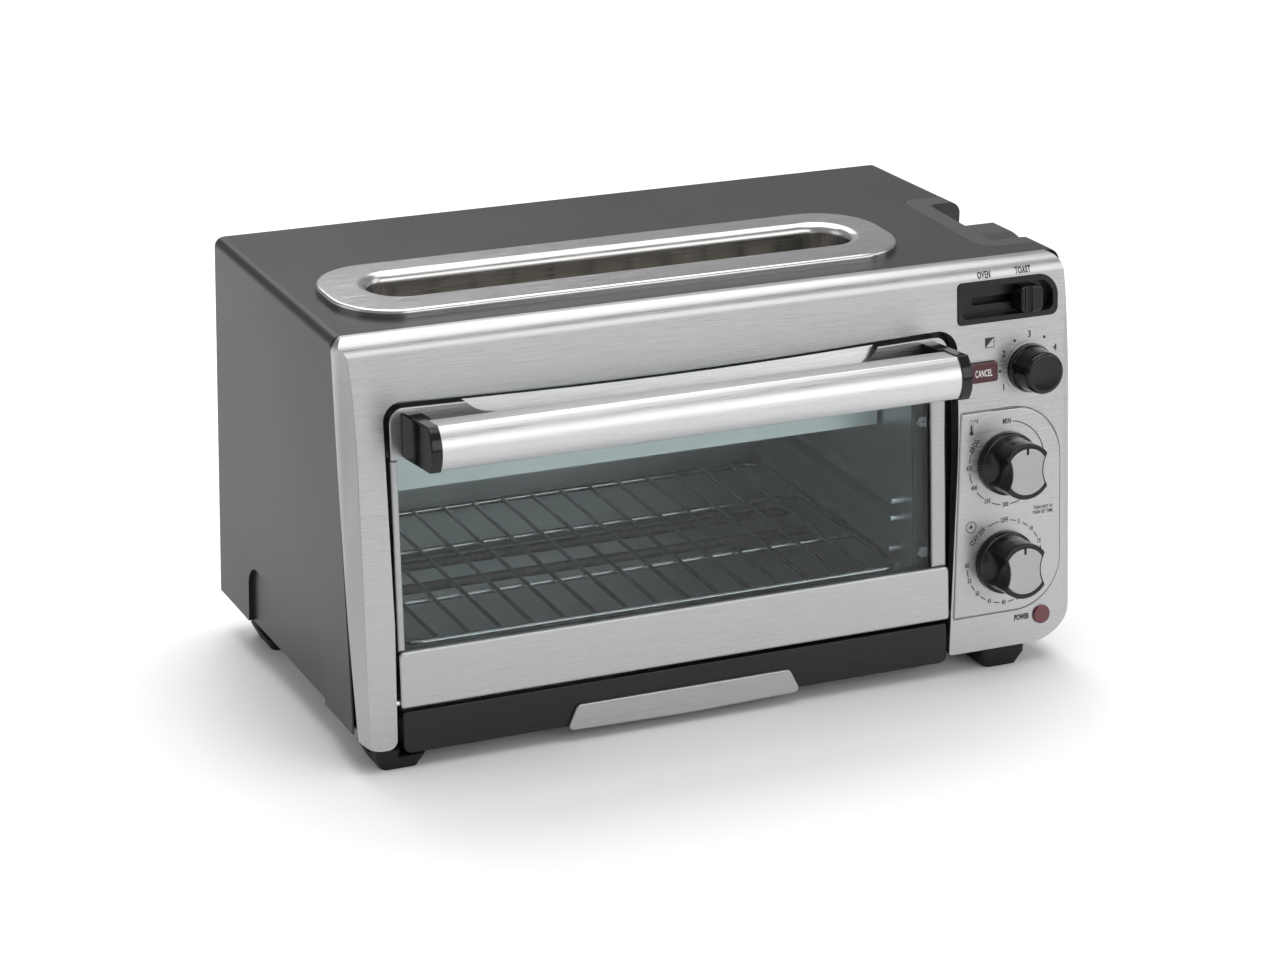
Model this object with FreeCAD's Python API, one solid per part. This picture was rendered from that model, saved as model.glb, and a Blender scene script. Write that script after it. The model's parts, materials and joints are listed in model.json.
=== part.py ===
import FreeCAD, Part
import math
import os
from FreeCAD import Placement, Rotation, Vector

# A counter-top oven with a long toaster slot in its top.
# Lengths are millimetres.  The parts are laid out from the left side, the top
# front seam and the table: +X runs to the right, +Y to the back and +Z up.
# save() moves them so that the origin is the bottom centre of the whole oven.

# ---- overall ----
WRAP_DEPTH = 208.0
WRAP_TOP = 258.0
WRAP_BOTTOM = 25.0
SHEET = 1.0
LINER = 0.8
BEZEL_WIDTH = 480.0
SIDE_FRONT_X = 477.0
SIDE_BACK_X = 460.0
HANDLE_FRONT_Y = -60.2
SPACER_LENGTH = 18.0
ORIGIN = Vector(BEZEL_WIDTH / 2, (HANDLE_FRONT_Y + WRAP_DEPTH + SPACER_LENGTH) / 2, 0)

# ---- leaning front: v runs up the face, w stands out of it ----
FRONT_FOOT_Y = -37.1
FRONT_SLOPE = 0.113
LEAN = math.atan(FRONT_SLOPE)
UP = math.cos(LEAN)
SEAM_TOP_Y = 4.5
SEAM_SLOPE = 0.1447
SIDE_BEND_Y = 10.0
WRAP_LEFT_ROUND = 6.0
WRAP_RIGHT_ROUND = 8.0
PAN_FRONT_Y = -22.5
BEZEL_SHEET = 1.2
PAD_RISE = 1.2
BEZEL_FOOT = 14.2
RIDGE_X = 8.6
RIDGE_TOP = 260.0
RIDGE_RUN = 22.0
FRAME_W = -14.0

# ---- oven cavity and toaster well ----
CAVITY_LEFT = 30.0
CAVITY_RIGHT = 374.0
CAVITY_BACK = 195.0
CAVITY_ROOF = 222.0
FLOOR_Z = 30.0
TRAY_RIM_Z = 33.6
RACK_Z = 69.4
RACK_X0 = 39.0
RACK_X1 = 365.0
RACK_Y0 = -13.0
RACK_Y1 = 183.0
RACK_WIRES = 15
RAIL_REACH = 10.0
RAIL_LEVELS = (RACK_Z - 7.0, RACK_Z + 4.5, RACK_Z + 25.0, RACK_Z + 36.5)
HEATER_YS = (115.0, 150.0)
HEATER_Z = 47.0
HEATER_R = 3.25
WELL_X0 = 38.0
WELL_X1 = 372.0
WELL_Y0 = 36.0
WELL_Y1 = 100.0
WELL_BOTTOM = 146.0
SLOT_MID_Y = 68.0
ROD_YS = (SLOT_MID_Y, SLOT_MID_Y + 24.0)
CARRIAGE_Z = 198.0
CARRIAGE_TRAVEL = 58.0
ARM_X = 404.0
BOARD_GAP = 1.2
BOARD_THICK = 1.0

# ---- door, in v and w ----
DOOR_X0 = 28.9
DOOR_X1 = 392.3
DOOR_V0 = 37.8
DOOR_V1 = 217.8
DOOR_DIP_V = 213.4
DOOR_W = -12.0
DOOR_FACE_W = -0.5
STRIP_TOP_V = 72.2
FRAME_BOTTOM_V = 187.0
GLASS_BOTTOM_V = 61.0
GLASS_TOP_V = 195.0
HINGE_V = 41.0
HINGE_W = -4.0
OPENING_X0 = 25.0
OPENING_TOP_V = 221.6
OPENING_DIP_V = 217.2
PANEL_X = 398.4

# ---- handle ----
HANDLE_V0 = 188.7
HANDLE_V1 = 214.2
HANDLE_BACK_W = 21.0
HANDLE_FACE_W = 38.0
HANDLE_NOSE_W = 44.7
NOSE_R = 17.5
HANDLE_X0 = 43.5
HANDLE_X1 = 377.5
CAP_WIDTH = 7.0
CAP_PROUD = 0.8

# ---- controls: x, v of each centre ----
TEMPERATURE_AT = (432.3, 133.0)
TIMER_AT = (430.6, 70.0)
SHADE_AT = (449.0, 191.2)
LAMP_AT = (457.4, 31.6)
KNOB_R = 20.0
KNOB_SKIRT_TOP = 6.5
KNOB_HEIGHT = 27.0
WAIST_CORNER = math.radians(35.0)
GRIP_R = 17.6
GRIP_WAIST = 11.4
INLAY_R = 14.6
INLAY_WAIST = 10.2
INLAY_THICK = 2.0
SHAFT_R = 3.0
SHAFT_END = 16.0
SHADE_R = 13.4
SHADE_SKIRT_R = 15.0
SHADE_HEIGHT = 20.0
PLATE = (398.6, 468.8, 222.7, 249.2)
SLIDER_X = 447.6
SLIDER_V = 235.4
SLIDER_TRAVEL = 32.0
CANCEL = (404.9, 425.2, 186.2, 198.4)

# ---- lever housing in the top right corner ----
HOUSING_X = 432.0
HOUSING_Y0 = 20.0
HOUSING_Y1 = 127.0
HOUSING_BOTTOM = 170.0
NOTCH_X = 445.0
NOTCH_Y0 = 32.0
NOTCH_Y1 = 113.0
NOTCH_FLOOR = 178.0
LEVER_Y0 = 36.0
LEVER_Y1 = 72.5

# ---- crumb tray and feet ----
TRAY_X0 = 34.0
TRAY_X1 = 370.0
TRAY_PAN_Y = -24.0
TRAY_FRONT_Z0 = 9.8
TRAY_FRONT_Z1 = 35.2
TRAY_FRONT_X0 = 30.0
TRAY_FRONT_X1 = 390.8
FOOT_OUT = 13.0
FOOT_WIDTH = 31.0
FOOT_TAPER = 4.0
FRONT_FOOT_PAD_Y = -34.6
FOOT_DEPTH = 36.0
REAR_FOOT_Y = 155.0
PAD_HEIGHT = 8.2
CHEEK_TOP = 13.2
GLAND_X = 428.0
GLAND_Z = 55.0
LEFT_FOOT_X = FOOT_OUT + FOOT_WIDTH / 2
RIGHT_FOOT_X = SIDE_BACK_X - LEFT_FOOT_X
FOOT_SCREWS = [(x, y) for x in (LEFT_FOOT_X, RIGHT_FOOT_X) for y in (-12.0, REAR_FOOT_Y + 18)]
BACK_SCREWS = [(14, 40), (14, 140), (14, 245), (446, 40), (446, 140), (446, 245), (230, 247), (230, 33)]


# ---------------------------------------------------------------- helpers
def box(x0, x1, y0, y1, z0, z1):
    return Part.makeBox(x1 - x0, y1 - y0, z1 - z0, Vector(x0, y0, z0))


def rod(start, end, radius):
    start = Vector(*start)
    run = Vector(*end) - start
    return Part.makeCylinder(radius, run.Length, start, run)


def join(shapes):
    first = shapes[0]
    if len(shapes) > 1:
        first = first.fuse(shapes[1:])
    return first.removeSplitter()


def cut(shape, tools):
    return shape.cut(tools).removeSplitter()


def rounded_face(corners):
    """Flat outline through (a, b, radius) corners, each rounded by its radius."""
    count = len(corners)
    tangents = []
    for i, (a, b, radius) in enumerate(corners):
        here = Vector(a, b, 0)
        back = Vector(*corners[i - 1][:2], 0) - here
        ahead = Vector(*corners[(i + 1) % count][:2], 0) - here
        back.normalize()
        ahead.normalize()
        half = back.getAngle(ahead) / 2
        if radius == 0:
            tangents.append((here, here, here))
            continue
        reach = radius / math.tan(half)
        middle = back + ahead
        middle.normalize()
        depth = radius / math.sin(half) - radius
        tangents.append((here + back * reach, here + middle * depth, here + ahead * reach))
    edges = []
    for i, (enter, middle, leave) in enumerate(tangents):
        if enter != leave:
            edges.append(Part.Arc(enter, middle, leave).toShape())
        following = tangents[(i + 1) % count][0]
        if leave.distanceToPoint(following) > 1e-6:
            edges.append(Part.LineSegment(leave, following).toShape())
    return Part.Face(Part.Wire(edges))


def rectangle(a0, a1, b0, b1, radius=0.0):
    return [(a0, b0, radius), (a1, b0, radius), (a1, b1, radius), (a0, b1, radius)]


def standing(corners, z0, z1):
    """Outline in X and Y, extruded from z0 to z1."""
    slab = rounded_face(corners).extrude(Vector(0, 0, z1 - z0))
    slab.translate(Vector(0, 0, z0))
    return slab


def crosswise(corners, x0, x1):
    """Outline in Y and Z, extruded from x0 to x1."""
    bar = rounded_face(corners).extrude(Vector(0, 0, x1 - x0))
    bar.Placement = Placement(Vector(x0, 0, 0), Rotation(Vector(1, 1, 1), 120))
    return bar


def lengthwise(corners, y0, y1):
    """Outline in X and Z, extruded from y0 to y1."""
    bar = rounded_face(corners).extrude(Vector(0, 0, y1 - y0))
    bar.Placement = Placement(Vector(0, y1, 0), Rotation(Vector(1, 0, 0), 90))
    return bar


def on_front(shape):
    """Stand a shape, drawn in x, v and w, on the leaning front face."""
    lean = Placement(Vector(0, FRONT_FOOT_Y, 0), Rotation(Vector(1, 0, 0), 90 - math.degrees(LEAN)))
    placed = shape.copy()
    placed.Placement = lean.multiply(shape.Placement)
    return placed


def plate(corners, w0, w1):
    """Outline in x and v on the front face, thick from w0 to w1."""
    return on_front(standing(corners, w0, w1))


def front_bar(corners, x0, x1):
    """Outline in v and w on the front face, extruded from x0 to x1."""
    return on_front(crosswise(corners, x0, x1))


def peg(centre, radius, w0, w1):
    """Round peg standing out of the front face at (x, v)."""
    return on_front(rod((centre[0], centre[1], w0), (centre[0], centre[1], w1), radius))


def in_front_of(w, reach=200.0):
    """Everything in front of the front face's parallel at w."""
    return on_front(box(-50, 550, -60, 320, w, w + reach))


def in_front_of_seam():
    """Everything in front of the slanted seam between bezel and wrap."""
    low, high, front = -40.0, 320.0, -300.0
    corners = [(seam_y(low), low, 0), (seam_y(high), high, 0), (front, high, 0), (front, low, 0)]
    return crosswise(corners, -60, 560)


def seam_y(z):
    return SEAM_TOP_Y + SEAM_SLOPE * (z - WRAP_TOP)


def side_x(y):
    """Outer x of the right side, which draws in behind the seam, towards the back."""
    along = max(0.0, (y - SIDE_BEND_Y) / (WRAP_DEPTH - SIDE_BEND_Y))
    return SIDE_FRONT_X + (SIDE_BACK_X - SIDE_FRONT_X) * along


def save(name, shape):
    placed = shape.copy()
    placed.translate(-ORIGIN)
    placed.exportStep("parts/%s.step" % name)


# ---------------------------------------------------------------- case
def wrap_section(y, inset):
    """Wire of the wrap's outline across the oven at depth y, drawn in by inset."""
    side = side_x(y) - inset
    corners = [
        (inset, WRAP_BOTTOM - 5, 0),
        (side, WRAP_BOTTOM - 5, 0),
        (side, WRAP_TOP - inset, WRAP_RIGHT_ROUND - inset),
        (inset, WRAP_TOP - inset, WRAP_LEFT_ROUND - inset),
    ]
    section = rounded_face(corners).OuterWire
    section.Placement = Placement(Vector(0, y, 0), Rotation(Vector(1, 0, 0), 90))
    return section


def wrap_block(inset):
    """Solid inside the wrap: straight at the front, then drawn in on the right towards the back."""
    sections = [wrap_section(y, inset) for y in (-45.0, SIDE_BEND_Y, WRAP_DEPTH + 1)]
    return Part.makeLoft(sections, True, True)


def side_press(x0, x1, inset):
    """Pressed recess low in the left side."""
    corners = [
        (17 + inset, WRAP_BOTTOM - 6, 0),
        (153 - inset, WRAP_BOTTOM - 6, 0),
        (153 - inset, 64 - inset, 15),
        (17 + inset, 64 - inset, 15),
    ]
    return crosswise(corners, x0, x1)


def housing_outline(inset=0.0):
    return [
        (HOUSING_X + inset, HOUSING_Y0 + inset, 16),
        (side_x(HOUSING_Y0) + 20, HOUSING_Y0 + inset, 0),
        (side_x(HOUSING_Y1) + 20, HOUSING_Y1 - inset, 0),
        (HOUSING_X + inset, HOUSING_Y1 - inset, 8),
    ]


def outer_wrap():
    press_depth = 3.0
    body = wrap_block(0).cut(side_press(-1, press_depth, 0))
    hollow = wrap_block(SHEET).cut(side_press(0, press_depth + SHEET, -SHEET))
    ends = box(-10, 500, WRAP_DEPTH - SHEET - 0.2, WRAP_DEPTH + 5, 0, 300)
    floor = box(-10, 500, -100, 300, 0, WRAP_BOTTOM)
    slot = standing(rectangle(41.5, 368.5, 41.5, 94.5, 25), WRAP_TOP - 5, WRAP_TOP + 5)
    pod = standing(housing_outline(-0.2), HOUSING_BOTTOM - 0.2, WRAP_TOP + 5)
    return body.cut([hollow, ends, floor, slot, pod, in_front_of_seam()])


def back_panel():
    inset = SHEET + 0.1
    corners = [
        (inset, WRAP_BOTTOM, 0),
        (side_x(WRAP_DEPTH) - inset, WRAP_BOTTOM, 0),
        (side_x(WRAP_DEPTH) - inset, WRAP_TOP - inset, 7),
        (inset, WRAP_TOP - inset, 5),
    ]
    panel = lengthwise(corners, WRAP_DEPTH - SHEET, WRAP_DEPTH)
    vents = []
    for row in range(4):
        for column in range(12):
            x = 110 + 20 * column
            z = 150 + 18 * row
            vents.append(box(x, x + 13, WRAP_DEPTH - 3, WRAP_DEPTH + 1, z, z + 4))
    return cut(panel, vents + [gland_rod(8.1, WRAP_DEPTH - 3, WRAP_DEPTH + 1)])


def base_pan():
    inset = SHEET + 0.1
    front = PAN_FRONT_Y
    corners = [
        (inset, front, 0),
        (side_x(front) - inset, front, 0),
        (SIDE_FRONT_X - inset, SIDE_BEND_Y, 0),
        (side_x(WRAP_DEPTH) - inset, WRAP_DEPTH - SHEET - 0.1, 0),
        (inset, WRAP_DEPTH - SHEET - 0.1, 0),
    ]
    pan = standing(corners, WRAP_BOTTOM, WRAP_BOTTOM + SHEET)
    rail_top = FLOOR_Z - LINER - 0.3
    rails = [box(x, x + 8, front + 12, WRAP_DEPTH - 20, WRAP_BOTTOM, rail_top) for x in (60, 336)]
    holes = []
    for row in range(3):
        for column in range(10):
            x = 100 + 24 * column
            y = 40 + 45 * row
            holes.append(rod((x, y, 20), (x, y, 30), 3))
    return cut(join([pan] + rails), holes + [side_press(-1, 4.2, -1.1)])


def bezel_outline():
    return [
        (0, BEZEL_FOOT, 17),
        (25.5, BEZEL_FOOT, 6),
        (27.0, 90, 60),
        (OPENING_X0, OPENING_TOP_V, 11),
        (212, OPENING_DIP_V, 4000),
        (PANEL_X, OPENING_TOP_V, 14),
        (399.4, 150, 600),
        (391.9, BEZEL_FOOT, 2),
        (BEZEL_WIDTH, BEZEL_FOOT, 30),
        (BEZEL_WIDTH, 150, 900),
        (474.5, 240, 300),
        (471.5, 263, 14),
        (0, 261.6, 9),
    ]


def ridge_x(v):
    """How far in from the left the ridge of the bezel's flank runs, at level v."""
    return RIDGE_X - 6.0 * math.exp((min(v, RIDGE_TOP) - RIDGE_TOP) / RIDGE_RUN)


def flank_section(v, inset):
    """Wire of the bezel's outline across the face at level v, drawn in by inset."""
    ridge = ridge_x(v)
    corners = [
        (0, -60, 0),
        (0, -0.9 * ridge, 5),
        (ridge, 0, 1.6),
        (BEZEL_WIDTH, 0, 7),
        (BEZEL_WIDTH, -60, 0),
    ]
    wire = rounded_face(corners).OuterWire
    if inset:
        wire = wire.makeOffset2D(-inset)
    wire.Placement = Placement(Vector(0, v, 0), Rotation(Vector(1, 0, 0), 90))
    return wire


def bezel_body(inset):
    """Rounded front cover, drawn in by inset all round."""
    face = rounded_face(bezel_outline())
    if inset:
        face = Part.Face(face.OuterWire.makeOffset2D(-inset))
    front = face.extrude(Vector(0, 0, 60))
    front.translate(Vector(0, 0, -50))
    front = on_front(front)
    top = WRAP_TOP - inset
    low = -20
    profile = [
        (FRONT_FOOT_Y + FRONT_SLOPE * low + inset, low, 0),
        (FRONT_FOOT_Y + FRONT_SLOPE * top + inset, top, 11 - inset),
        (60, top, 0),
        (60, low, 0),
    ]
    rolled = crosswise(profile, -20, 520)
    levels = (-30, 150, 185, 205, 220, 230, 238, 246, 253, 260, 290)
    flank = Part.makeLoft([flank_section(v, inset) for v in levels], True, True)
    return front.common(rolled).common(on_front(flank))


def panel_pad():
    """Raised D-shaped field round the two large knobs, with a rounded step."""
    corners = [(394.8, 37.4, 1), (470.4, 37.4, 32), (470.4, 167.4, 34), (400.6, 167.4, 1)]
    pad = plate(corners, -BEZEL_SHEET, PAD_RISE)
    return pad.makeFillet(PAD_RISE * 0.9, [e for e in pad.Edges if edge_w(e) > PAD_RISE - 0.01])


def front_bezel():
    body = bezel_body(0).cut(bezel_body(BEZEL_SHEET))
    behind = box(-60, 560, -200, 300, -50, 320).cut(in_front_of_seam())
    body = join([body.cut(behind), panel_pad()])
    holes = [
        peg(TEMPERATURE_AT, 7, -5, 5),
        peg(TIMER_AT, 7, -5, 5),
        peg(SHADE_AT, 6, -5, 5),
        peg(LAMP_AT, 5.2, -5, 5),
        plate(plate_outline(0), -5, 5),
        on_front(rod((10, HINGE_V, HINGE_W), (400.5, HINGE_V, HINGE_W), 2.6)),
        plate(rectangle(CANCEL[0] - 0.4, CANCEL[1] + 0.4, CANCEL[2] - 0.4, CANCEL[3] + 0.4, 1.5), -5, 5),
    ]
    ring = peg(SHADE_AT, 17.4, -BEZEL_SHEET, 0.9).cut(peg(SHADE_AT, 15.6, -5, 5))
    return cut(join([body, ring]), holes)


def front_frame():
    """Steel frame that ties the cavity to the wrap, behind the bezel."""
    corners = [(2, 28.5, 0), (458, 28.5, 0), (458, 254, 8), (2, 254, 6)]
    frame = plate(corners, FRAME_W - SHEET, FRAME_W)
    back = FRAME_W - 5
    ahead = FRAME_W + 5
    cancel_hole = rectangle(CANCEL[0] - 3, CANCEL[1] + 3, CANCEL[2] - 3, CANCEL[3] + 3)
    holes = [
        plate(rectangle(CAVITY_LEFT, CAVITY_RIGHT, 20, OPENING_DIP_V), back, ahead),
        plate(rectangle(396, 471, 220, 252), back, ahead),
        plate(cancel_hole, back, ahead),
        peg(LAMP_AT, 7, back, ahead),
    ]
    for centre in (TEMPERATURE_AT, TIMER_AT, SHADE_AT):
        holes.append(peg(centre, 8, back, ahead))
    return cut(frame, holes)


# ---------------------------------------------------------------- cavity
def side_rails(x0, x1):
    return [crosswise(rectangle(0, CAVITY_BACK - 6, z, z + 4, 1.5), x0, x1) for z in RAIL_LEVELS]


def cavity_left_wall():
    wall = box(CAVITY_LEFT - LINER, CAVITY_LEFT, -40, CAVITY_BACK, 27, CAVITY_ROOF)
    wall = wall.cut(in_front_of(FRAME_W - SHEET))
    return join([wall] + side_rails(CAVITY_LEFT - 0.1, CAVITY_LEFT + RAIL_REACH - 1))


def cavity_right_wall():
    wall = box(CAVITY_RIGHT, CAVITY_RIGHT + LINER, -40, CAVITY_BACK, 27, CAVITY_ROOF)
    wall = wall.cut(in_front_of(FRAME_W - SHEET))
    wall = join([wall] + side_rails(CAVITY_RIGHT - RAIL_REACH + 1, CAVITY_RIGHT + 0.1))
    return cut(wall, [arm_slot(CAVITY_RIGHT - 3, CAVITY_RIGHT + 3)])


def arm_slot(x0, x1):
    """Upright slot that the carriage's arm runs in."""
    low = CARRIAGE_Z - CARRIAGE_TRAVEL - 3
    return box(x0, x1, SLOT_MID_Y - 4, SLOT_MID_Y + 4, low, CARRIAGE_Z + 6)


def cavity_back_wall():
    return box(CAVITY_LEFT - LINER, CAVITY_RIGHT + LINER, CAVITY_BACK, CAVITY_BACK + LINER, 27, CAVITY_ROOF)


def cavity_roof():
    x0 = CAVITY_LEFT - LINER
    x1 = CAVITY_RIGHT + LINER
    roof = box(x0, x1, -40, CAVITY_BACK + LINER, CAVITY_ROOF, CAVITY_ROOF + LINER)
    roof = roof.cut(in_front_of(FRAME_W - SHEET))
    return cut(roof, [box(WELL_X0 - 0.1, WELL_X1 + 0.1, WELL_Y0 - 0.1, WELL_Y1 + 0.1, 200, 240)])


def toast_well():
    outer = box(WELL_X0, WELL_X1, WELL_Y0, WELL_Y1, WELL_BOTTOM, 245)
    inner = box(WELL_X0 + LINER, WELL_X1 - LINER, WELL_Y0 + LINER, WELL_Y1 - LINER, 100, 300)
    lip_z = CAVITY_ROOF + LINER
    lip = box(WELL_X0 - 2, WELL_X1 + 2, WELL_Y0 - 6, WELL_Y1 + 6, lip_z, lip_z + LINER)
    return cut(join([outer, lip]), [inner, arm_slot(WELL_X1 - 3, WELL_X1 + 3)])


def heater_boards():
    """Two mica boards, one along each long side of the well."""
    front = WELL_Y0 + LINER + BOARD_GAP
    back = WELL_Y1 - LINER - BOARD_GAP - BOARD_THICK
    boards = []
    for y in (front, back):
        board = box(WELL_X0 + 8, WELL_X1 - 8, y, y + BOARD_THICK, WELL_BOTTOM + 6, 238)
        boards.append(board)
    return Part.makeCompound(boards)


def heater_ribbons():
    """Flat resistance ribbon carried up and down the inner face of each board."""
    front = WELL_Y0 + LINER + BOARD_GAP + BOARD_THICK
    back = WELL_Y1 - LINER - BOARD_GAP - BOARD_THICK
    turns = 12
    pitch = (WELL_X1 - WELL_X0 - 40) / turns
    ribbons = []
    for y in (front, back - 0.3):
        strips = []
        for i in range(turns + 1):
            x = WELL_X0 + 20 + i * pitch
            strips.append(box(x, x + 1.6, y, y + 0.3, WELL_BOTTOM + 12, 232))
            if i < turns:
                z = 230.4 if i % 2 == 0 else WELL_BOTTOM + 12
                strips.append(box(x, x + pitch + 1.6, y, y + 0.3, z, z + 1.6))
        ribbons.append(join(strips))
    return Part.makeCompound(ribbons)


def bread_guides():
    """Upright wires that keep the bread off the heaters."""
    wires = []
    for y in (WELL_Y0 + 9.5, WELL_Y1 - 9.5):
        guard = [rod((WELL_X0 + LINER, y, z), (WELL_X1 - LINER, y, z), 1.0) for z in (WELL_BOTTOM + 4, 243)]
        for i in range(12):
            x = WELL_X0 + 24 + i * 26
            guard.append(rod((x, y, WELL_BOTTOM + 4), (x, y, 243), 1.0))
        wires.append(join(guard))
    return Part.makeCompound(wires)


def lower_heaters():
    bars = []
    for y in HEATER_YS:
        bars.append(rod((CAVITY_LEFT - 10, y, HEATER_Z), (CAVITY_RIGHT + 10, y, HEATER_Z), HEATER_R))
    return Part.makeCompound(bars)


def heater_insulators():
    ends = []
    for y in HEATER_YS:
        for x0, x1 in ((CAVITY_LEFT - 12, CAVITY_LEFT - LINER), (CAVITY_RIGHT + LINER, CAVITY_RIGHT + 12)):
            sleeve = rod((x0, y, HEATER_Z), (x1, y, HEATER_Z), 6)
            ends.append(sleeve.cut(rod((x0 - 1, y, HEATER_Z), (x1 + 1, y, HEATER_Z), HEATER_R)))
    return Part.makeCompound(ends)


def heater_holes():
    return [rod((0, y, HEATER_Z), (450, y, HEATER_Z), 3.6) for y in HEATER_YS]


# ---------------------------------------------------------------- toaster top
def slot_ring():
    top = WRAP_TOP + 5
    flange = standing(rectangle(19, 387, 20, 111.5, 38), WRAP_TOP, top)
    collar = standing(rectangle(42, 368, 42, 94, 24.5), WRAP_TOP - 11, top)
    ring = join([flange, collar])
    ring = ring.cut(standing(rectangle(48, 362, 48, 88, 19.5), WRAP_TOP - 20, top + 5))
    top_edges = [e for e in ring.Edges if abs(e.CenterOfMass.z - top) < 0.01]
    ring = ring.makeFillet(6.0, [e for e in top_edges if not is_outer(e)])
    outer = [e for e in ring.Edges if e.BoundBox.ZMin > top - 0.01 and is_outer(e)]
    ring = ring.makeFillet(2.0, outer)
    under = standing(rectangle(21, 385, 22, 109.5, 36), WRAP_TOP - 1, WRAP_TOP + 3)
    keep = standing(rectangle(38, 372, 38, 98, 28), WRAP_TOP - 20, WRAP_TOP + 10)
    return cut(ring, [under.cut(keep)])


def is_outer(edge):
    bounds = edge.BoundBox
    return bounds.XMin < 40 or bounds.XMax > 370 or bounds.YMin < 40 or bounds.YMax > 96


def lever_housing():
    """Hollow corner moulding with an open notch that the lever runs down in."""
    wall = 1.8
    pod = standing(housing_outline(), HOUSING_BOTTOM, WRAP_TOP).common(wrap_block(0))
    core = standing(housing_outline(wall), HOUSING_BOTTOM - 1, WRAP_TOP - wall).common(wrap_block(wall))
    core = core.cut(standing(notch_outline(wall), NOTCH_FLOOR - wall, WRAP_TOP + 5))
    notch = standing(notch_outline(0), NOTCH_FLOOR, WRAP_TOP + 5)
    slot = box(HOUSING_X - 1, NOTCH_X + 1, 52, 60, NOTCH_FLOOR + 4, WRAP_TOP - 2.5)
    return cut(pod, [notch, core, slot])


def notch_outline(grow):
    reach = NOTCH_X + 60
    return [
        (NOTCH_X - grow, NOTCH_Y0 - grow, 4),
        (reach, NOTCH_Y0 - grow, 0),
        (reach, NOTCH_Y1 + grow, 0),
        (NOTCH_X - grow, NOTCH_Y1 + grow, 4),
    ]


# ---------------------------------------------------------------- works behind the panel
def guide_rods():
    """Two upright rods between a foot and a head, on a strip up the cavity's wall."""
    x0 = CAVITY_RIGHT + LINER
    y0 = SLOT_MID_Y - 8
    y1 = SLOT_MID_Y + 32
    low = 128
    high = 254
    pieces = [rod((ARM_X, y, low), (ARM_X, y, high), 2.0) for y in ROD_YS]
    pieces.append(box(x0, ARM_X + 6, y0, y1, low - 4, low))
    pieces.append(box(x0, ARM_X + 6, y0, y1, high, high + 2))
    pieces.append(box(x0, CAVITY_RIGHT + 3, SLOT_MID_Y + 8, y1, low - 4, high + 2))
    return join(pieces)


def return_spring():
    """Extension spring from the rod head down to the carriage bracket."""
    bottom = CARRIAGE_Z + 14
    helix = Part.makeHelix(3.0, 252 - bottom, 4.0)
    profile = Part.Wire([Part.makeCircle(0.5, Vector(4.0, 0, 0), Vector(0, 1, 0))])
    coil = Part.Wire(helix).makePipeShell([profile], True, True)
    coil.translate(Vector(ARM_X, ROD_YS[1], bottom))
    return coil


def latch_magnet():
    core = box(ARM_X - 12, ARM_X + 12, 86, 104, 100, 118)
    pole = rod((ARM_X, 95, 118), (ARM_X, 95, 123.5), 6)
    return join([core, pole])


def control_body(centre, size, depth):
    """Boxed switch gear behind the frame, on a threaded neck."""
    x, v = centre
    w0 = FRAME_W - SHEET
    can = plate(rectangle(x - size / 2, x + size / 2, v - size / 2, v + size / 2, 3), w0 - depth, w0)
    neck = peg(centre, 5.5, w0, FRAME_W + 6)
    bore = peg(centre, 3.08, -70, 5)
    return cut(join([can, neck]), [bore])


def thermostat():
    return control_body(TEMPERATURE_AT, 34, 22)


def timer():
    return control_body(TIMER_AT, 46, 34)


def shade_potentiometer():
    return control_body(SHADE_AT, 16, 9)


def circuit_board():
    board = box(392, 393.6, 118, 190, 60, 170)
    parts = [
        box(393.6, 408, 126, 146, 70, 92),
        box(393.6, 401, 152, 162, 100, 116),
        rod((393.6, 175, 82), (409, 175, 82), 6),
        rod((393.6, 135, 130), (405, 135, 130), 5),
        box(393.6, 399, 150, 182, 134, 158),
    ]
    return join([board] + parts)


def function_switch():
    w0 = FRAME_W - SHEET
    return plate(rectangle(404, 466, 224, 243, 2), w0 - 11, w0)


def plate_outline(inset):
    x0, x1, v0, v1 = PLATE
    return [
        (x0 + inset, v0 + inset, 3),
        (x1 - inset, v0 + inset, 5),
        (x1 - inset, v1 - inset, 14 - inset),
        (x0 + inset, v1 - inset, 3),
    ]


def switch_plate():
    rim = plate(plate_outline(0.25), -9.0, 0.8)
    slot = rectangle(SLIDER_X - SLIDER_TRAVEL - 4, SLIDER_X + 4, SLIDER_V - 2.5, SLIDER_V + 2.5, 2.4)
    return cut(rim, [plate(plate_outline(3.5), -6.0, 5), plate(slot, -20, 5)])


def power_lens():
    """Domed lamp cap on a body behind the panel."""
    cap = peg(LAMP_AT, 6.0, 0.05, 1.6)
    cap = cap.makeFillet(1.0, [e for e in cap.Edges if e.Closed and edge_w(e) > 1.5])
    return join([cap, peg(LAMP_AT, 5.0, -11, 0.05)])


# ---------------------------------------------------------------- underside and back
def foot(x0, x1, y0, y1):
    """Block that narrows down to its pad, with a neck up to the base pan."""
    top = rounded_face(rectangle(x0, x1, y0, y1, 4)).OuterWire
    top.translate(Vector(0, 0, PAD_HEIGHT))
    pad_corners = rectangle(x0 + FOOT_TAPER, x1 - FOOT_TAPER, y0 + 2.5, y1 - FOOT_TAPER, 4)
    pad = Part.makeLoft([rounded_face(pad_corners).OuterWire, top], True, True)
    neck_y = y0 + 17 if y0 < 0 else y0 + 3
    neck = standing(rectangle(x0 + 5, x1 - 5, neck_y, y1 - 3, 3), PAD_HEIGHT, WRAP_BOTTOM)
    return join([pad, neck])


def feet_pair(y0, y1):
    left = foot(FOOT_OUT, FOOT_OUT + FOOT_WIDTH, y0, y1)
    right_out = SIDE_BACK_X - FOOT_OUT
    right = foot(right_out - FOOT_WIDTH, right_out, y0, y1)
    return [left, right]


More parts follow.
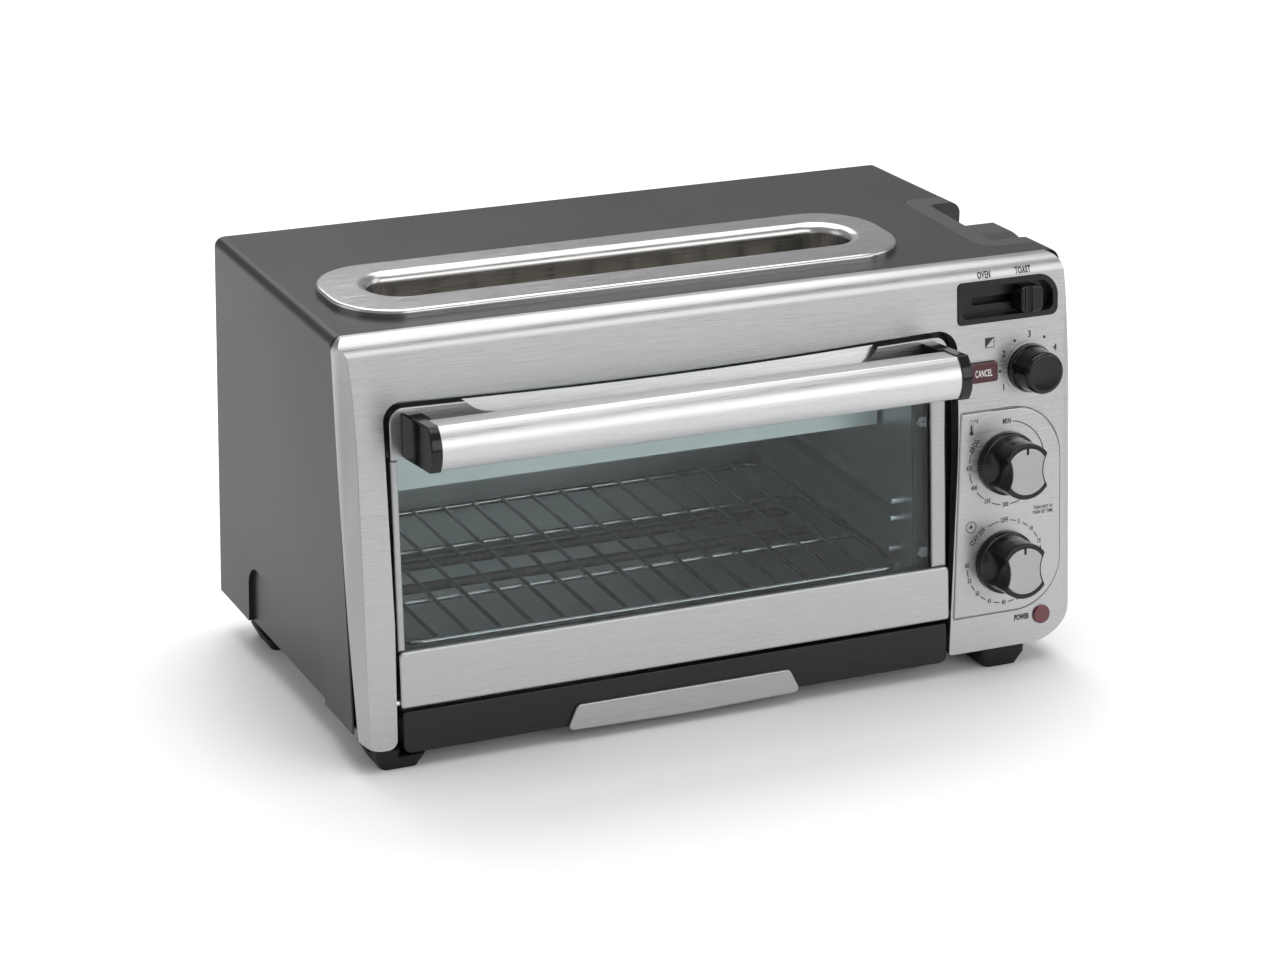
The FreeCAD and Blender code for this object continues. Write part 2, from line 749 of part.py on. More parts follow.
def front_feet_pair():
    """Front feet, each with a cheek that fills the room under the bezel."""
    y0 = FRONT_FOOT_PAD_Y
    left, right = feet_pair(y0, y0 + FOOT_DEPTH)
    right_out = SIDE_BACK_X - FOOT_OUT
    spans = ((FOOT_OUT, TRAY_FRONT_X0 - 2.0), (right_out - FOOT_WIDTH, right_out))
    feet = []
    for block, (x0, x1) in zip((left, right), spans):
        cheek = standing(rectangle(x0, x1, y0, y0 + 14, 4), PAD_HEIGHT, CHEEK_TOP)
        feet.append(join([block, cheek]))
    return feet


def foot_screw(x, y):
    head = rod((x, y, 3), (x, y, 5), 3.6)
    shank = rod((x, y, 5), (x, y, WRAP_BOTTOM + 1.8), 1.6)
    return join([head, shank])


def foot_wells():
    wells = []
    for x, y in FOOT_SCREWS:
        wells.append(rod((x, y, -1), (x, y, 5), 4.2))
        wells.append(rod((x, y, 4), (x, y, WRAP_BOTTOM + 1), 1.6))
    return wells


def case_screws():
    screws = [foot_screw(x, y) for x, y in FOOT_SCREWS]
    screws += [back_screw(x, z) for x, z in BACK_SCREWS]
    screws += [frame_screw(CAVITY_RIGHT + 6, v) for v in (80.0, 163.0)]
    return Part.makeCompound(screws)


def back_screw(x, z):
    """Cross-headed screw in the back panel."""
    top = WRAP_DEPTH + 1.8
    head = rod((x, WRAP_DEPTH, z), (x, top, z), 3.6)
    head = head.makeFillet(1.0, [e for e in head.Edges if e.BoundBox.YMin > top - 0.1])
    across = box(x - 2.2, x + 2.2, top - 1.1, top + 1, z - 0.4, z + 0.4)
    upright = box(x - 0.4, x + 0.4, top - 1.1, top + 1, z - 2.2, z + 2.2)
    return cut(head, [across, upright])


def frame_screw(x, v):
    """Slotted screw that holds the cavity to the front frame."""
    head = peg((x, v), 3.2, FRAME_W, FRAME_W + 1.6)
    return head.cut(on_front(box(x - 2, x + 2, v - 0.4, v + 0.4, FRAME_W + 0.8, FRAME_W + 3)))


def rear_spacers():
    """Stand-offs that keep the back clear of a wall."""
    pair = []
    for x in (70, 372):
        end = WRAP_DEPTH + SPACER_LENGTH
        post = lengthwise(rectangle(x, x + 18, 196, 222, 3), WRAP_DEPTH, end)
        post = post.makeFillet(2.5, [e for e in post.Edges if e.BoundBox.YMin > end - 0.1])
        pair.append(post)
    return Part.makeCompound(pair)


def cord_gland():
    """Grommet for a mains lead, low on the back."""
    flange = gland_rod(11, WRAP_DEPTH, WRAP_DEPTH + 4)
    flange = flange.makeFillet(1.5, [e for e in flange.Edges if e.BoundBox.YMin > WRAP_DEPTH + 3.9])
    neck = gland_rod(8, WRAP_DEPTH - 5, WRAP_DEPTH)
    return join([flange, neck]).cut(gland_rod(3.6, WRAP_DEPTH - 6, WRAP_DEPTH + 5))


def gland_rod(radius, y0, y1):
    return rod((GLAND_X, y0, GLAND_Z), (GLAND_X, y1, GLAND_Z), radius)


# ---------------------------------------------------------------- door
def door_glass():
    return plate(rectangle(DOOR_X0 + 2.2, DOOR_X1 - 2.2, GLASS_BOTTOM_V, GLASS_TOP_V, 2), -8.0, -4.0)


def door_bottom_strip():
    corners = [
        (DOOR_X0, DOOR_V0, 2),
        (DOOR_X1, DOOR_V0, 2),
        (DOOR_X1, STRIP_TOP_V, 3.2),
        (DOOR_X0, STRIP_TOP_V, 3.2),
    ]
    block = plate(corners, DOOR_W, 0)
    rim = [e for e in block.Edges if edge_w(e) > -0.01]
    block = block.makeFillet(1.4, rim)
    groove = front_bar(rectangle(GLASS_BOTTOM_V - 1.5, STRIP_TOP_V + 1, -8.2, -3.8), 0, 460)
    hollow = front_bar(rectangle(HINGE_V + 5, 57, DOOR_W - 1, -1.2, 1), DOOR_X0 + 12, DOOR_X1 - 12)
    bores = on_front(rod((0, HINGE_V, HINGE_W), (460, HINGE_V, HINGE_W), 2.0))
    return cut(block, [groove, hollow, bores])


def edge_w(edge):
    """How far out of the front face an edge's lowest point lies."""
    heights = []
    for vertex in edge.Vertexes:
        point = vertex.Point
        dy = point.y - FRONT_FOOT_Y
        heights.append(-dy * math.cos(LEAN) + point.z * math.sin(LEAN))
    return min(heights)


def finger_scoop():
    """Long scoop behind the handle, deeper towards the top of the door."""
    outline = [(66, 226, 0), (84, 209.5, 25), (210, 189, 500), (338, 207.5, 18), (350.8, 226, 0)]
    ramp = [(196, DOOR_FACE_W, 0), (226, -10.0, 0), (226, 5, 0), (196, 5, 0)]
    return plate(outline, DOOR_W, 5).common(front_bar(ramp, 0, 460))


def door_top_frame():
    """Top of the door, over the glass."""
    corners = [
        (DOOR_X0, FRAME_BOTTOM_V, 1),
        (DOOR_X1, FRAME_BOTTOM_V, 1),
        (DOOR_X1, DOOR_V1, 9),
        (211, DOOR_DIP_V, 4000),
        (DOOR_X0, DOOR_V1, 9),
    ]
    block = plate(corners, DOOR_W, DOOR_FACE_W)
    rim = [e for e in block.Edges if edge_w(e) > DOOR_FACE_W - 0.01]
    block = block.makeFillet(0.9, rim)
    groove = front_bar(rectangle(FRAME_BOTTOM_V - 5, GLASS_TOP_V + 0.1, -8.2, -3.8), 0, 460)
    return cut(block, [groove, finger_scoop()])


def door_trims():
    """Slim strips that hold the glass edges between the top frame and bottom strip."""
    trims = []
    groove = front_bar(rectangle(50, 200, -8.2, -3.8), DOOR_X0 + 2, DOOR_X1 - 2)
    for x0, x1 in ((DOOR_X0, DOOR_X0 + 4.6), (DOOR_X1 - 11.5, DOOR_X1 - 1.3)):
        strip = plate(rectangle(x0, x1, STRIP_TOP_V + 0.1, FRAME_BOTTOM_V - 0.1), DOOR_W, -1.5)
        strip = strip.makeFillet(1.2, [e for e in strip.Edges if edge_w(e) > -1.51])
        trims.append(strip.cut(groove))
    return Part.makeCompound(trims)


def handle_outline(grow, back, corner=1.0):
    """D section of the handle in v and w, with its nose to the front."""
    low = HANDLE_V0 - grow
    high = HANDLE_V1 + grow
    face = HANDLE_FACE_W + grow
    apex = HANDLE_NOSE_W + grow + 4.6
    return [
        (low, back, 1),
        (high, back, 1),
        (high, face, corner),
        ((low + high) / 2, apex, NOSE_R + 2 * grow),
        (low, face + 1.5, corner),
    ]


def door_handle():
    """Rolled handle, open along the middle of its back."""
    x0 = HANDLE_X0
    x1 = HANDLE_X1
    outer = front_bar(handle_outline(0, HANDLE_BACK_W), x0, x1)
    inner = front_bar(handle_outline(-1.4, HANDLE_BACK_W + 1.4), x0 - 1, x1 + 1)
    gap = rectangle(HANDLE_V0 + 5, HANDLE_V1 - 5, HANDLE_BACK_W - 2, HANDLE_BACK_W + 3)
    return cut(outer, [inner, front_bar(gap, x0 - 1, x1 + 1)])


def handle_cap(x0, x1, outer_x, root):
    """End cap that carries the handle on the door, with a foot under the tube's end."""
    cap = front_bar(handle_outline(CAP_PROUD, DOOR_FACE_W, 1.5), x0, x1)
    rim = [e for e in cap.Edges if abs(e.CenterOfMass.x - outer_x) < 0.01]
    clear_of_door = DOOR_FACE_W + HANDLE_FACE_W / 2
    cap = cap.makeFillet(1.2, [e for e in rim if middle_w(e) > clear_of_door])
    foot_corners = rectangle(HANDLE_V0 - CAP_PROUD, HANDLE_V1 + CAP_PROUD, DOOR_FACE_W, HANDLE_BACK_W - 0.3)
    return join([cap, front_bar(foot_corners, *root)])


def middle_w(edge):
    """How far out of the front face an edge's middle lies."""
    centre = edge.CenterOfMass
    return centre.z * math.sin(LEAN) - (centre.y - FRONT_FOOT_Y) * math.cos(LEAN)


def left_handle_cap():
    outer = HANDLE_X0 - CAP_WIDTH
    return handle_cap(outer, HANDLE_X0, outer, (outer + 1, HANDLE_X0 + 3))


def right_handle_cap():
    outer = HANDLE_X1 + CAP_WIDTH
    return handle_cap(HANDLE_X1, outer, outer, (HANDLE_X1 - 3, outer - 1))


def handle_screws():
    screws = []
    for x in (HANDLE_X0 - CAP_WIDTH / 2, HANDLE_X1 + CAP_WIDTH / 2):
        for v in (HANDLE_V0 + 5, HANDLE_V1 - 6):
            head = on_front(rod((x, v, -14), (x, v, -12), 3.2))
            screws.append(head)
    return Part.makeCompound(screws)


def hinge_pins():
    pins = []
    for x0, x1 in ((OPENING_X0 - 6, DOOR_X0 + 14), (DOOR_X1 - 14, 401)):
        pins.append(on_front(rod((x0, HINGE_V, HINGE_W), (x1, HINGE_V, HINGE_W), 2.0)))
    return Part.makeCompound(pins)


def hinge_brackets():
    """Lugs on the front frame that the door pins turn in."""
    lugs = []
    for x0, x1 in ((OPENING_X0 - 5, OPENING_X0 - 1.5), (396.5, 400)):
        lug = on_front(box(x0, x1, HINGE_V - 7, HINGE_V + 7, FRAME_W, -BEZEL_SHEET - 0.2))
        lugs.append(lug.cut(on_front(rod((x0 - 1, HINGE_V, HINGE_W), (x1 + 1, HINGE_V, HINGE_W), 2.06))))
    return Part.makeCompound(lugs)


# ---------------------------------------------------------------- knobs
def waisted_disc(centre, radius, waist, w0, w1):
    """Disc with both sides drawn in to a waist, for a finger and a thumb."""
    x, v = centre
    a = radius * math.cos(WAIST_CORNER)
    b = radius * math.sin(WAIST_CORNER)
    outline = [(a, b), (0, radius), (-a, b), (-waist, 0), (-a, -b), (0, -radius), (a, -b), (waist, 0)]
    points = [Vector(x + across, v + up, w0) for across, up in outline]
    arcs = [Part.Arc(points[i], points[i + 1], points[(i + 2) % 8]).toShape() for i in (0, 2, 4, 6)]
    disc = Part.Face(Part.Wire(arcs)).extrude(Vector(0, 0, w1 - w0))
    return on_front(disc)


def large_knob(centre):
    """Round skirt that carries a waisted finger grip."""
    skirt = peg(centre, KNOB_R, 1.3, KNOB_SKIRT_TOP)
    skirt = skirt.makeFillet(1.5, [e for e in skirt.Edges if e.Closed and edge_w(e) > KNOB_SKIRT_TOP - 0.1])
    grip = waisted_disc(centre, GRIP_R, GRIP_WAIST, KNOB_SKIRT_TOP - 0.5, KNOB_HEIGHT)
    grip = grip.makeFillet(1.0, [e for e in grip.Edges if edge_w(e) > KNOB_HEIGHT - 0.01])
    pocket = waisted_disc(centre, INLAY_R, INLAY_WAIST, KNOB_HEIGHT - INLAY_THICK, KNOB_HEIGHT + 2)
    bore = peg(centre, SHAFT_R, -2, SHAFT_END)
    return cut(join([skirt, grip]), [pocket, bore])


def knob_insert(centre):
    """Bright inlay on the grip, with a pointer notch at its top."""
    x, v = centre
    inlay = waisted_disc(centre, INLAY_R, INLAY_WAIST, KNOB_HEIGHT - INLAY_THICK, KNOB_HEIGHT + 0.4)
    notch = plate(rectangle(x - 1, x + 1, v + 10.5, v + 20, 0), KNOB_HEIGHT - 0.4, KNOB_HEIGHT + 2)
    return cut(inlay, [notch])


def control_shaft(centre, back_w):
    return peg(centre, SHAFT_R, back_w, SHAFT_END)


def shade_knob():
    knob = peg(SHADE_AT, SHADE_R, 1.2, SHADE_HEIGHT)
    knob = knob.makeFillet(2.0, [e for e in knob.Edges if e.Closed and edge_w(e) > SHADE_HEIGHT - 0.1])
    skirt = peg(SHADE_AT, SHADE_SKIRT_R, 1.2, 5.0)
    stem = peg(SHADE_AT, SHAFT_R, FRAME_W - 8, 2)
    x, v = SHADE_AT
    groove = plate(rectangle(x - 0.7, x + 0.7, v + 4, v + 16, 0), SHADE_HEIGHT - 0.6, SHADE_HEIGHT + 2)
    return cut(join([knob, skirt, stem]), [groove])


def function_slider():
    x = SLIDER_X
    v = SLIDER_V
    grip = plate(rectangle(x - 7.6, x + 7.6, v - 8.0, v + 8.0, 3), -5.7, 6.0)
    grip = grip.makeFillet(1.2, [e for e in grip.Edges if edge_w(e) > 5.99])
    scoop = on_front(rod((x - 2.5, v - 12, 7.5), (x - 2.5, v + 12, 7.5), 3.2))
    stem = plate(rectangle(x - 3, x + 3, v - 2, v + 2, 0), -10.5, -5)
    return cut(join([grip, stem]), [scoop])


def cancel_button():
    x0, x1, v0, v1 = CANCEL
    cap = plate(rectangle(x0, x1, v0, v1, 1.5), -8.0, 3.2)
    return cap.makeFillet(0.8, [e for e in cap.Edges if edge_w(e) > 3.19])


# ---------------------------------------------------------------- toast carriage
def bread_carriage():
    """Slotted rest that the bread stands on, with an arm out through the right wall."""
    y0 = SLOT_MID_Y - 9
    y1 = SLOT_MID_Y + 9
    tray = box(WELL_X0 + 8, WELL_X1 - 8, y0, y1, CARRIAGE_Z, CARRIAGE_Z + 1.2)
    gaps = []
    for i in range(12):
        x = WELL_X0 + 20 + 24 * i
        gaps.append(box(x, x + 16, y0 + 4, y1 - 4, CARRIAGE_Z - 1, CARRIAGE_Z + 3))
    arm = box(WELL_X1 - 12, ARM_X - 6, SLOT_MID_Y - 2.5, SLOT_MID_Y + 2.5, CARRIAGE_Z, CARRIAGE_Z + 3)
    return cut(join([tray, arm]), gaps)


def lever_bracket():
    """Slider on the guide rods, with the arm that carries the lever knob."""
    y0 = SLOT_MID_Y - 6
    block = box(ARM_X - 6, ARM_X + 6, y0, SLOT_MID_Y + 30, CARRIAGE_Z - 4, CARRIAGE_Z + 10)
    rods = [rod((ARM_X, y, 100), (ARM_X, y, 300), 2.08) for y in ROD_YS]
    riser = box(ARM_X + 6, ARM_X + 8, 53, SLOT_MID_Y + 20, CARRIAGE_Z - 4, 252)
    reach = box(ARM_X + 6, NOTCH_X + 8, 54, 58, 244, 252)
    return cut(join([block, riser, reach]), rods)


def lever_knob():
    """Finger rest that fills the front of the notch, humped on top."""
    outer = side_x(LEVER_Y0) - 0.6
    corners = [
        (LEVER_Y0, 240, 3),
        (LEVER_Y1, 240, 3),
        (LEVER_Y1, 257.2, 6),
        (LEVER_Y0 + 16, 257.2, 12),
        (LEVER_Y0, 248, 5),
    ]
    hump = crosswise(corners, NOTCH_X + 1, outer)
    hump = hump.common(wrap_block(0.6))
    return cut(hump, [box(NOTCH_X - 1, NOTCH_X + 8, 54, 58, 244, 252)])


# ---------------------------------------------------------------- tray and rack
def crumb_tray():
    back = CAVITY_BACK - 4
    pan = box(TRAY_X0, TRAY_X1, TRAY_PAN_Y, back, FLOOR_Z - LINER, TRAY_RIM_Z)
    front = TRAY_PAN_Y + LINER
    hollow = box(TRAY_X0 + LINER, TRAY_X1 - LINER, front, back - LINER, FLOOR_Z, TRAY_RIM_Z + 5)
    return cut(pan, [hollow])


def tray_front():
    v0 = TRAY_FRONT_Z0 / UP
    v1 = TRAY_FRONT_Z1 / UP
    corners = [
        (TRAY_FRONT_X0, v0, 5),
        (TRAY_FRONT_X1, v0, 5),
        (TRAY_FRONT_X1, v1, 1.5),
        (TRAY_FRONT_X0, v1, 1.5),
    ]
    bar = plate(corners, -11.0, -1.0)
    bar = bar.makeFillet(1.0, [e for e in bar.Edges if edge_w(e) > -1.01])
    hollow = front_bar(rectangle(v0 - 2, v1 - 4, -12, -4, 1), TRAY_FRONT_X0 + 6, TRAY_FRONT_X1 - 6)
    seat = grip_shape(-3, 5, 0.15)
    return cut(bar, [hollow, seat, box(TRAY_X0, TRAY_X1, TRAY_PAN_Y, 0, FLOOR_Z - LINER, TRAY_RIM_Z + 5)])


def grip_shape(w0, w1, grow):
    corners = [
        (132.5 - grow, 7.8 - grow, 3),
        (210.5, 6.4 - grow, 700),
        (288.5 + grow, 7.8 - grow, 3),
        (281 + grow, 23.1 + grow, 4),
        (140 - grow, 23.1 + grow, 4),
    ]
    return plate(corners, w0, w1)


def tray_grip():
    grip = grip_shape(-3, 1.2, 0)
    return grip.makeFillet(0.8, [e for e in grip.Edges if edge_w(e) > 1.19])


def oven_rack():
    """Wire shelf: round-cornered frame, two cross rails and the long wires."""
    corner = 12.0
    path = rounded_face(rectangle(RACK_X0, RACK_X1, RACK_Y0, RACK_Y1, corner)).OuterWire
    path.translate(Vector(0, 0, RACK_Z))
    start = path.Edges[0].Vertexes[0].Point
    tangent = path.Edges[0].tangentAt(path.Edges[0].FirstParameter)
    circle = Part.Wire([Part.makeCircle(2.0, start, tangent)])
    frame = path.makePipeShell([circle], True, False)
    pitch = (RACK_X1 - RACK_X0) / (RACK_WIRES + 1)
    wires = []
    for i in range(1, RACK_WIRES + 1):
        x = RACK_X0 + i * pitch
        wires.append(rod((x, RACK_Y0, RACK_Z + 0.4), (x, RACK_Y1, RACK_Z + 0.4), 1.3))
    for y in (50.0, 125.0):
        wires.append(rod((RACK_X0, y, RACK_Z - 2.2), (RACK_X1, y, RACK_Z - 2.2), 1.6))
    return join([frame] + wires)


def main():
    os.makedirs("parts", exist_ok=True)
    save("outer_wrap", outer_wrap())
    save("back_panel", back_panel())
    save("base_pan", cut(base_pan(), foot_wells()))
    save("front_bezel", front_bezel())
    save("front_frame", front_frame())
    save("cavity_left_wall", cut(cavity_left_wall(), heater_holes()))
    save("cavity_right_wall", cut(cavity_right_wall(), heater_holes()))
    save("cavity_back_wall", cavity_back_wall())
    save("cavity_roof", cavity_roof())
    save("toast_well", toast_well())
    save("heater_boards", heater_boards())
    save("heater_ribbons", heater_ribbons())
    save("bread_guides", bread_guides())
    save("lower_heaters", lower_heaters())
    save("heater_insulators", heater_insulators())
    save("slot_ring", slot_ring())
    save("lever_housing", lever_housing())
    save("guide_rods", guide_rods())
    save("return_spring", return_spring())
    save("latch_magnet", latch_magnet())
    save("thermostat", thermostat())
    save("timer", timer())
    save("shade_potentiometer", shade_potentiometer())
    save("circuit_board", circuit_board())
    save("function_switch", function_switch())
    save("switch_plate", switch_plate())
    save("power_lens", power_lens())
    front_feet = front_feet_pair()
    rear_feet = feet_pair(REAR_FOOT_Y, REAR_FOOT_Y + FOOT_DEPTH)
    names = ("front_left_foot", "front_right_foot", "rear_left_foot", "rear_right_foot")
    for name, block in zip(names, front_feet + rear_feet):
        save(name, cut(block, foot_wells()))
    save("case_screws", case_screws())
    save("rear_spacers", rear_spacers())
    save("cord_gland", cord_gland())
    save("door_glass", door_glass())
    save("door_bottom_strip", door_bottom_strip())
    save("door_top_frame", door_top_frame())
    save("door_trims", door_trims())
    save("door_handle", door_handle())
    save("left_handle_cap", left_handle_cap())
    save("right_handle_cap", right_handle_cap())
    save("handle_screws", handle_screws())
    save("hinge_pins", hinge_pins())
    save("hinge_brackets", hinge_brackets())
    save("temperature_knob", large_knob(TEMPERATURE_AT))
    save("temperature_inlay", knob_insert(TEMPERATURE_AT))
    save("thermostat_shaft", control_shaft(TEMPERATURE_AT, -30))
    save("timer_knob", large_knob(TIMER_AT))
    save("timer_inlay", knob_insert(TIMER_AT))
    save("timer_shaft", control_shaft(TIMER_AT, -40))
    save("shade_knob", shade_knob())
    save("function_slider", function_slider())
    save("cancel_button", cancel_button())
    save("bread_carriage", bread_carriage())
    save("lever_bracket", lever_bracket())
    save("lever_knob", lever_knob())
    save("crumb_tray", crumb_tray())
    save("tray_front", tray_front())
    save("tray_grip", tray_grip())
    save("oven_rack", oven_rack())


main()
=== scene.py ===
import bpy
import json
import math
from mathutils import Matrix, Vector
from mathutils.bvhtree import BVHTree


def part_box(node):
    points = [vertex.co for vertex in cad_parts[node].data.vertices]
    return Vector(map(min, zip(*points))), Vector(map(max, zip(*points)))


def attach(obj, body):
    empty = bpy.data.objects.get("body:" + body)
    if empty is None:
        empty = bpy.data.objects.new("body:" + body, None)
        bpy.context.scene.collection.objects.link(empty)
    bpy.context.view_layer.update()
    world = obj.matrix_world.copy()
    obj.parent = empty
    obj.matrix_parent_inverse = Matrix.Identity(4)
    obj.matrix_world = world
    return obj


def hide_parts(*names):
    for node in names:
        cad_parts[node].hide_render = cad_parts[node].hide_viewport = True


# Looks of a counter-top oven with a toaster slot.  Lengths are metres, in the frame of the CAD part.
# MM turns millimetres into metres where a detail is easier to read that way.

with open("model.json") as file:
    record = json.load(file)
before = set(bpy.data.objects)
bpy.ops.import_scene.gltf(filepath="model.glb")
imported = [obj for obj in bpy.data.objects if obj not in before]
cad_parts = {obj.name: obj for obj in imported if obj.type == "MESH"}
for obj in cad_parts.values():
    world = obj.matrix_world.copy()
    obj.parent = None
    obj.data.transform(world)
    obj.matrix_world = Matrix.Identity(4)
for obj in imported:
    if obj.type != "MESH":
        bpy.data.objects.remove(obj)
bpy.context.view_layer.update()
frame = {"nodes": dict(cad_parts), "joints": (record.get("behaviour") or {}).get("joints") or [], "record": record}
MM = 0.001
nodes = frame["nodes"]
joints = {j["name"]: j for j in frame["joints"]}

# ---- the leaning front: across (+X), up the face, and out of it ----
INWARD = Vector(joints["temperature_turn"]["axis"])
OUT = -INWARD
ACROSS = Vector((1, 0, 0))
UP_FACE = OUT.cross(ACROSS)

# ---- camera ----
AZIMUTH = math.radians(-25.12)
ELEVATION = math.radians(20.91)
ROLL = math.radians(1.33)
TARGET = Vector((-0.0052, 0.0044, 0.1091))
DISTANCE = 2.382
SENSOR = 36.0
LENS = 107.6

# ---- large knobs, from the panel outwards ----
SKIRT_RADIUS = 20.0 * MM
SKIRT_LOW = 1.3 * MM
SKIRT_TOP = 6.0 * MM
BLEND_TOP = 13.5 * MM
GRIP_RADIUS = 17.6 * MM
GRIP_WAIST = 11.4 * MM
GRIP_SCOOP = 20.0 * MM
INLAY_RADIUS = 14.6 * MM
INLAY_WAIST = 10.3 * MM
POCKET = 1.0 * MM
KNOB_SIDES = 128

# ---- shade knob: height out of the panel and radius, in millimetres, from the skirt to the dished face ----
SHADE_PROFILE = (
    (1.2, 14.6),
    (1.7, 15),
    (3.8, 15),
    (4.6, 14.8),
    (5.1, 14.4),
    (6.2, 14.0),
    (8, 13.7),
    (12, 13.4),
    (16.4, 13.2),
    (18.2, 13),
    (19.1, 12.6),
    (19.7, 11.9),
    (20, 10.9),
    (19.95, 10.2),
    (19.75, 8),
    (19.6, 4),
    (19.55, 0.5),
)

# ---- printed marks and the painted shade line round the dial field, in millimetres across and up from the control that they belong to ----
DIAL = 26.5
SHADE_DIAL = 20.9
LINE = 0.6
THIN_LINE = 0.3
WORD = 3.3
NUMERAL = 2.8
NOTE = 2.0
NOTE_AT = (25.6, -31.6)
NOTE_LEADING = 3.0
THERMOMETER_AT = (-24.8, 26.0)
CLOCK_AT = (-23.6, 25.2)
CLOCK_RADIUS = 3.5
ICON_AT = (-28.0, 18.9)
ICON_REACH = 3.2
PAD_TOP_LEFT = (-31.6, 34.9)
PAD_BOTTOM_LEFT = (-37.4, -96.1)
# middle across and up, radius, and the angle clockwise from the top at which the round starts
PAD_ROUNDS = ((4.4, 0.9, 34.0, 0), (6.4, -64.1, 32.0, 90))

# ---- lettering: capital height and stroke gain in the font's own units ----
CAPITAL = 0.69
BOLD = 0.03
NARROW = 0.55
LETTER_GAP = 1.12

# ---- how marks are laid down, in metres ----
RAY_START = 0.06
INK_LIFT = 0.08 * MM
CURVE_LIFT = 0.25 * MM

# ---- stage ----
FLOOR_REACH = 6.0
SKY_COLOUR = (0.95, 0.97, 1.0, 1)
SKY_STRENGTH = 0.45
MIDDLE = (0, 0, 0.12)
# name, place, aim, width, height, power
SOFTBOXES = (
    ("top_softbox", (0.1, 0.1, 1.9), MIDDLE, 2.2, 1.6, 24),
    ("front_softbox", (1.1, -2.3, 1.0), MIDDLE, 2.4, 1.4, 21),
    ("left_softbox", (-2.2, 0.3, 0.9), MIDDLE, 1.6, 1.4, 6),
    ("right_softbox", (1.9, -0.7, 1.1), MIDDLE, 1.0, 1.4, 6),
    ("back_softbox", (0.4, 3.2, 3.0), (0.5, 3.2, 0), 5.0, 3.0, 130),
)


# ---------------------------------------------------------------- materials
def grey(value, blue=0.0):
    return (value, value, value + blue)


class Finish:
    """A Principled material whose detail is noise laid in the part's own coordinates."""

    def __init__(self, name, colour, roughness, metallic=0.0, **sockets):
        self.material = bpy.data.materials.new(name)
        self.material.use_nodes = True
        self.tree = self.material.node_tree
        self.shader = self.tree.nodes["Principled BSDF"]
        self.shader.inputs["Base Color"].default_value = (*colour, 1)
        self.shader.inputs["Roughness"].default_value = roughness
        self.shader.inputs["Metallic"].default_value = metallic
        for socket, value in sockets.items():
            self.shader.inputs[socket.replace("_", " ")].default_value = value
        self.coords = self.tree.nodes.new("ShaderNodeTexCoord").outputs["Object"]

    def node(self, kind, **settings):
        made = self.tree.nodes.new("ShaderNode" + kind)
        for key, value in settings.items():
            setattr(made, key, value)
        return made

    def link(self, source, target):
        self.tree.links.new(source, target)

    def noise(self, per_metre, stretch=(1, 1, 1), detail=3.0, roughness=0.55):
        """Noise with this many cells to the metre, drawn out along an axis by a small stretch."""
        mapping = self.node("Mapping")
        mapping.inputs["Scale"].default_value = stretch
        self.link(self.coords, mapping.inputs["Vector"])
        noise = self.node("TexNoise")
        noise.inputs["Scale"].default_value = per_metre
        noise.inputs["Detail"].default_value = detail
        noise.inputs["Roughness"].default_value = roughness
        self.link(mapping.outputs["Vector"], noise.inputs["Vector"])
        return noise.outputs["Fac"]

    def cells(self, per_metre, output="Color"):
        cells = self.node("TexVoronoi")
        cells.inputs["Scale"].default_value = per_metre
        self.link(self.coords, cells.inputs["Vector"])
        return cells.outputs[output]

    def ramp(self, value, low, high, start=0.3, end=0.7):
        """Colours or greys from low to high as value goes from start to end."""
        ramp = self.node("ValToRGB")
        for stop, place, colour in zip(ramp.color_ramp.elements, (start, end), (low, high)):
            stop.position = place
            stop.color = (*colour, 1) if isinstance(colour, tuple) else (colour, colour, colour, 1)
        self.link(value, ramp.inputs["Fac"])
        return ramp.outputs["Color"]

    def colour(self, value, low, high, start=0.3, end=0.7):
        self.link(self.ramp(value, low, high, start, end), self.shader.inputs["Base Color"])
        return self

    def rough(self, value, low, high, start=0.3, end=0.7):
        self.link(self.ramp(value, low, high, start, end), self.shader.inputs["Roughness"])
        return self

    def bump(self, *layers):
        """Layers of (height, strength, depth in metres), the first one deepest in the chain."""
        below = None
        for height, strength, depth in layers:
            bump = self.node("Bump")
            bump.inputs["Strength"].default_value = strength
            bump.inputs["Distance"].default_value = depth
            self.link(height, bump.inputs["Height"])
            if below:
                self.link(below, bump.inputs["Normal"])
            below = bump.outputs["Normal"]
        self.link(below, self.shader.inputs["Normal"])
        return self

    def grain_along(self, axis):
        """Stretches highlights across brushing that runs along this axis."""
        tangent = self.node("Tangent", direction_type="RADIAL", axis=axis)
        self.link(tangent.outputs["Tangent"], self.shader.inputs["Tangent"])
        return self


def brushed(name, light, dark, roughness, depth):
    """Stainless sheet, brushed along X: long fine scratches over broad, faint cloudiness."""
    steel = Finish(name, light, roughness, 1.0, Anisotropic=0.55)
    along = (0.012, 1, 1)
    scratches = steel.noise(3000, along, 4.0, 0.6)
    lines = steel.noise(900, along, 3.0)
    cloud = steel.noise(9, (0.5, 1, 1), 2.0)
    steel.colour(scratches, dark, light, 0.36, 0.62)
    mixed = steel.node("Math", operation="MULTIPLY_ADD")
    steel.link(cloud, mixed.inputs[0])
    mixed.inputs[1].default_value = 0.35
    steel.link(scratches, mixed.inputs[2])
    steel.rough(mixed.outputs["Value"], roughness - 0.06, roughness + 0.08, 0.5, 0.85)
    steel.bump((lines, 0.05, depth), (scratches, 0.1, depth))
    return steel.grain_along("X").material


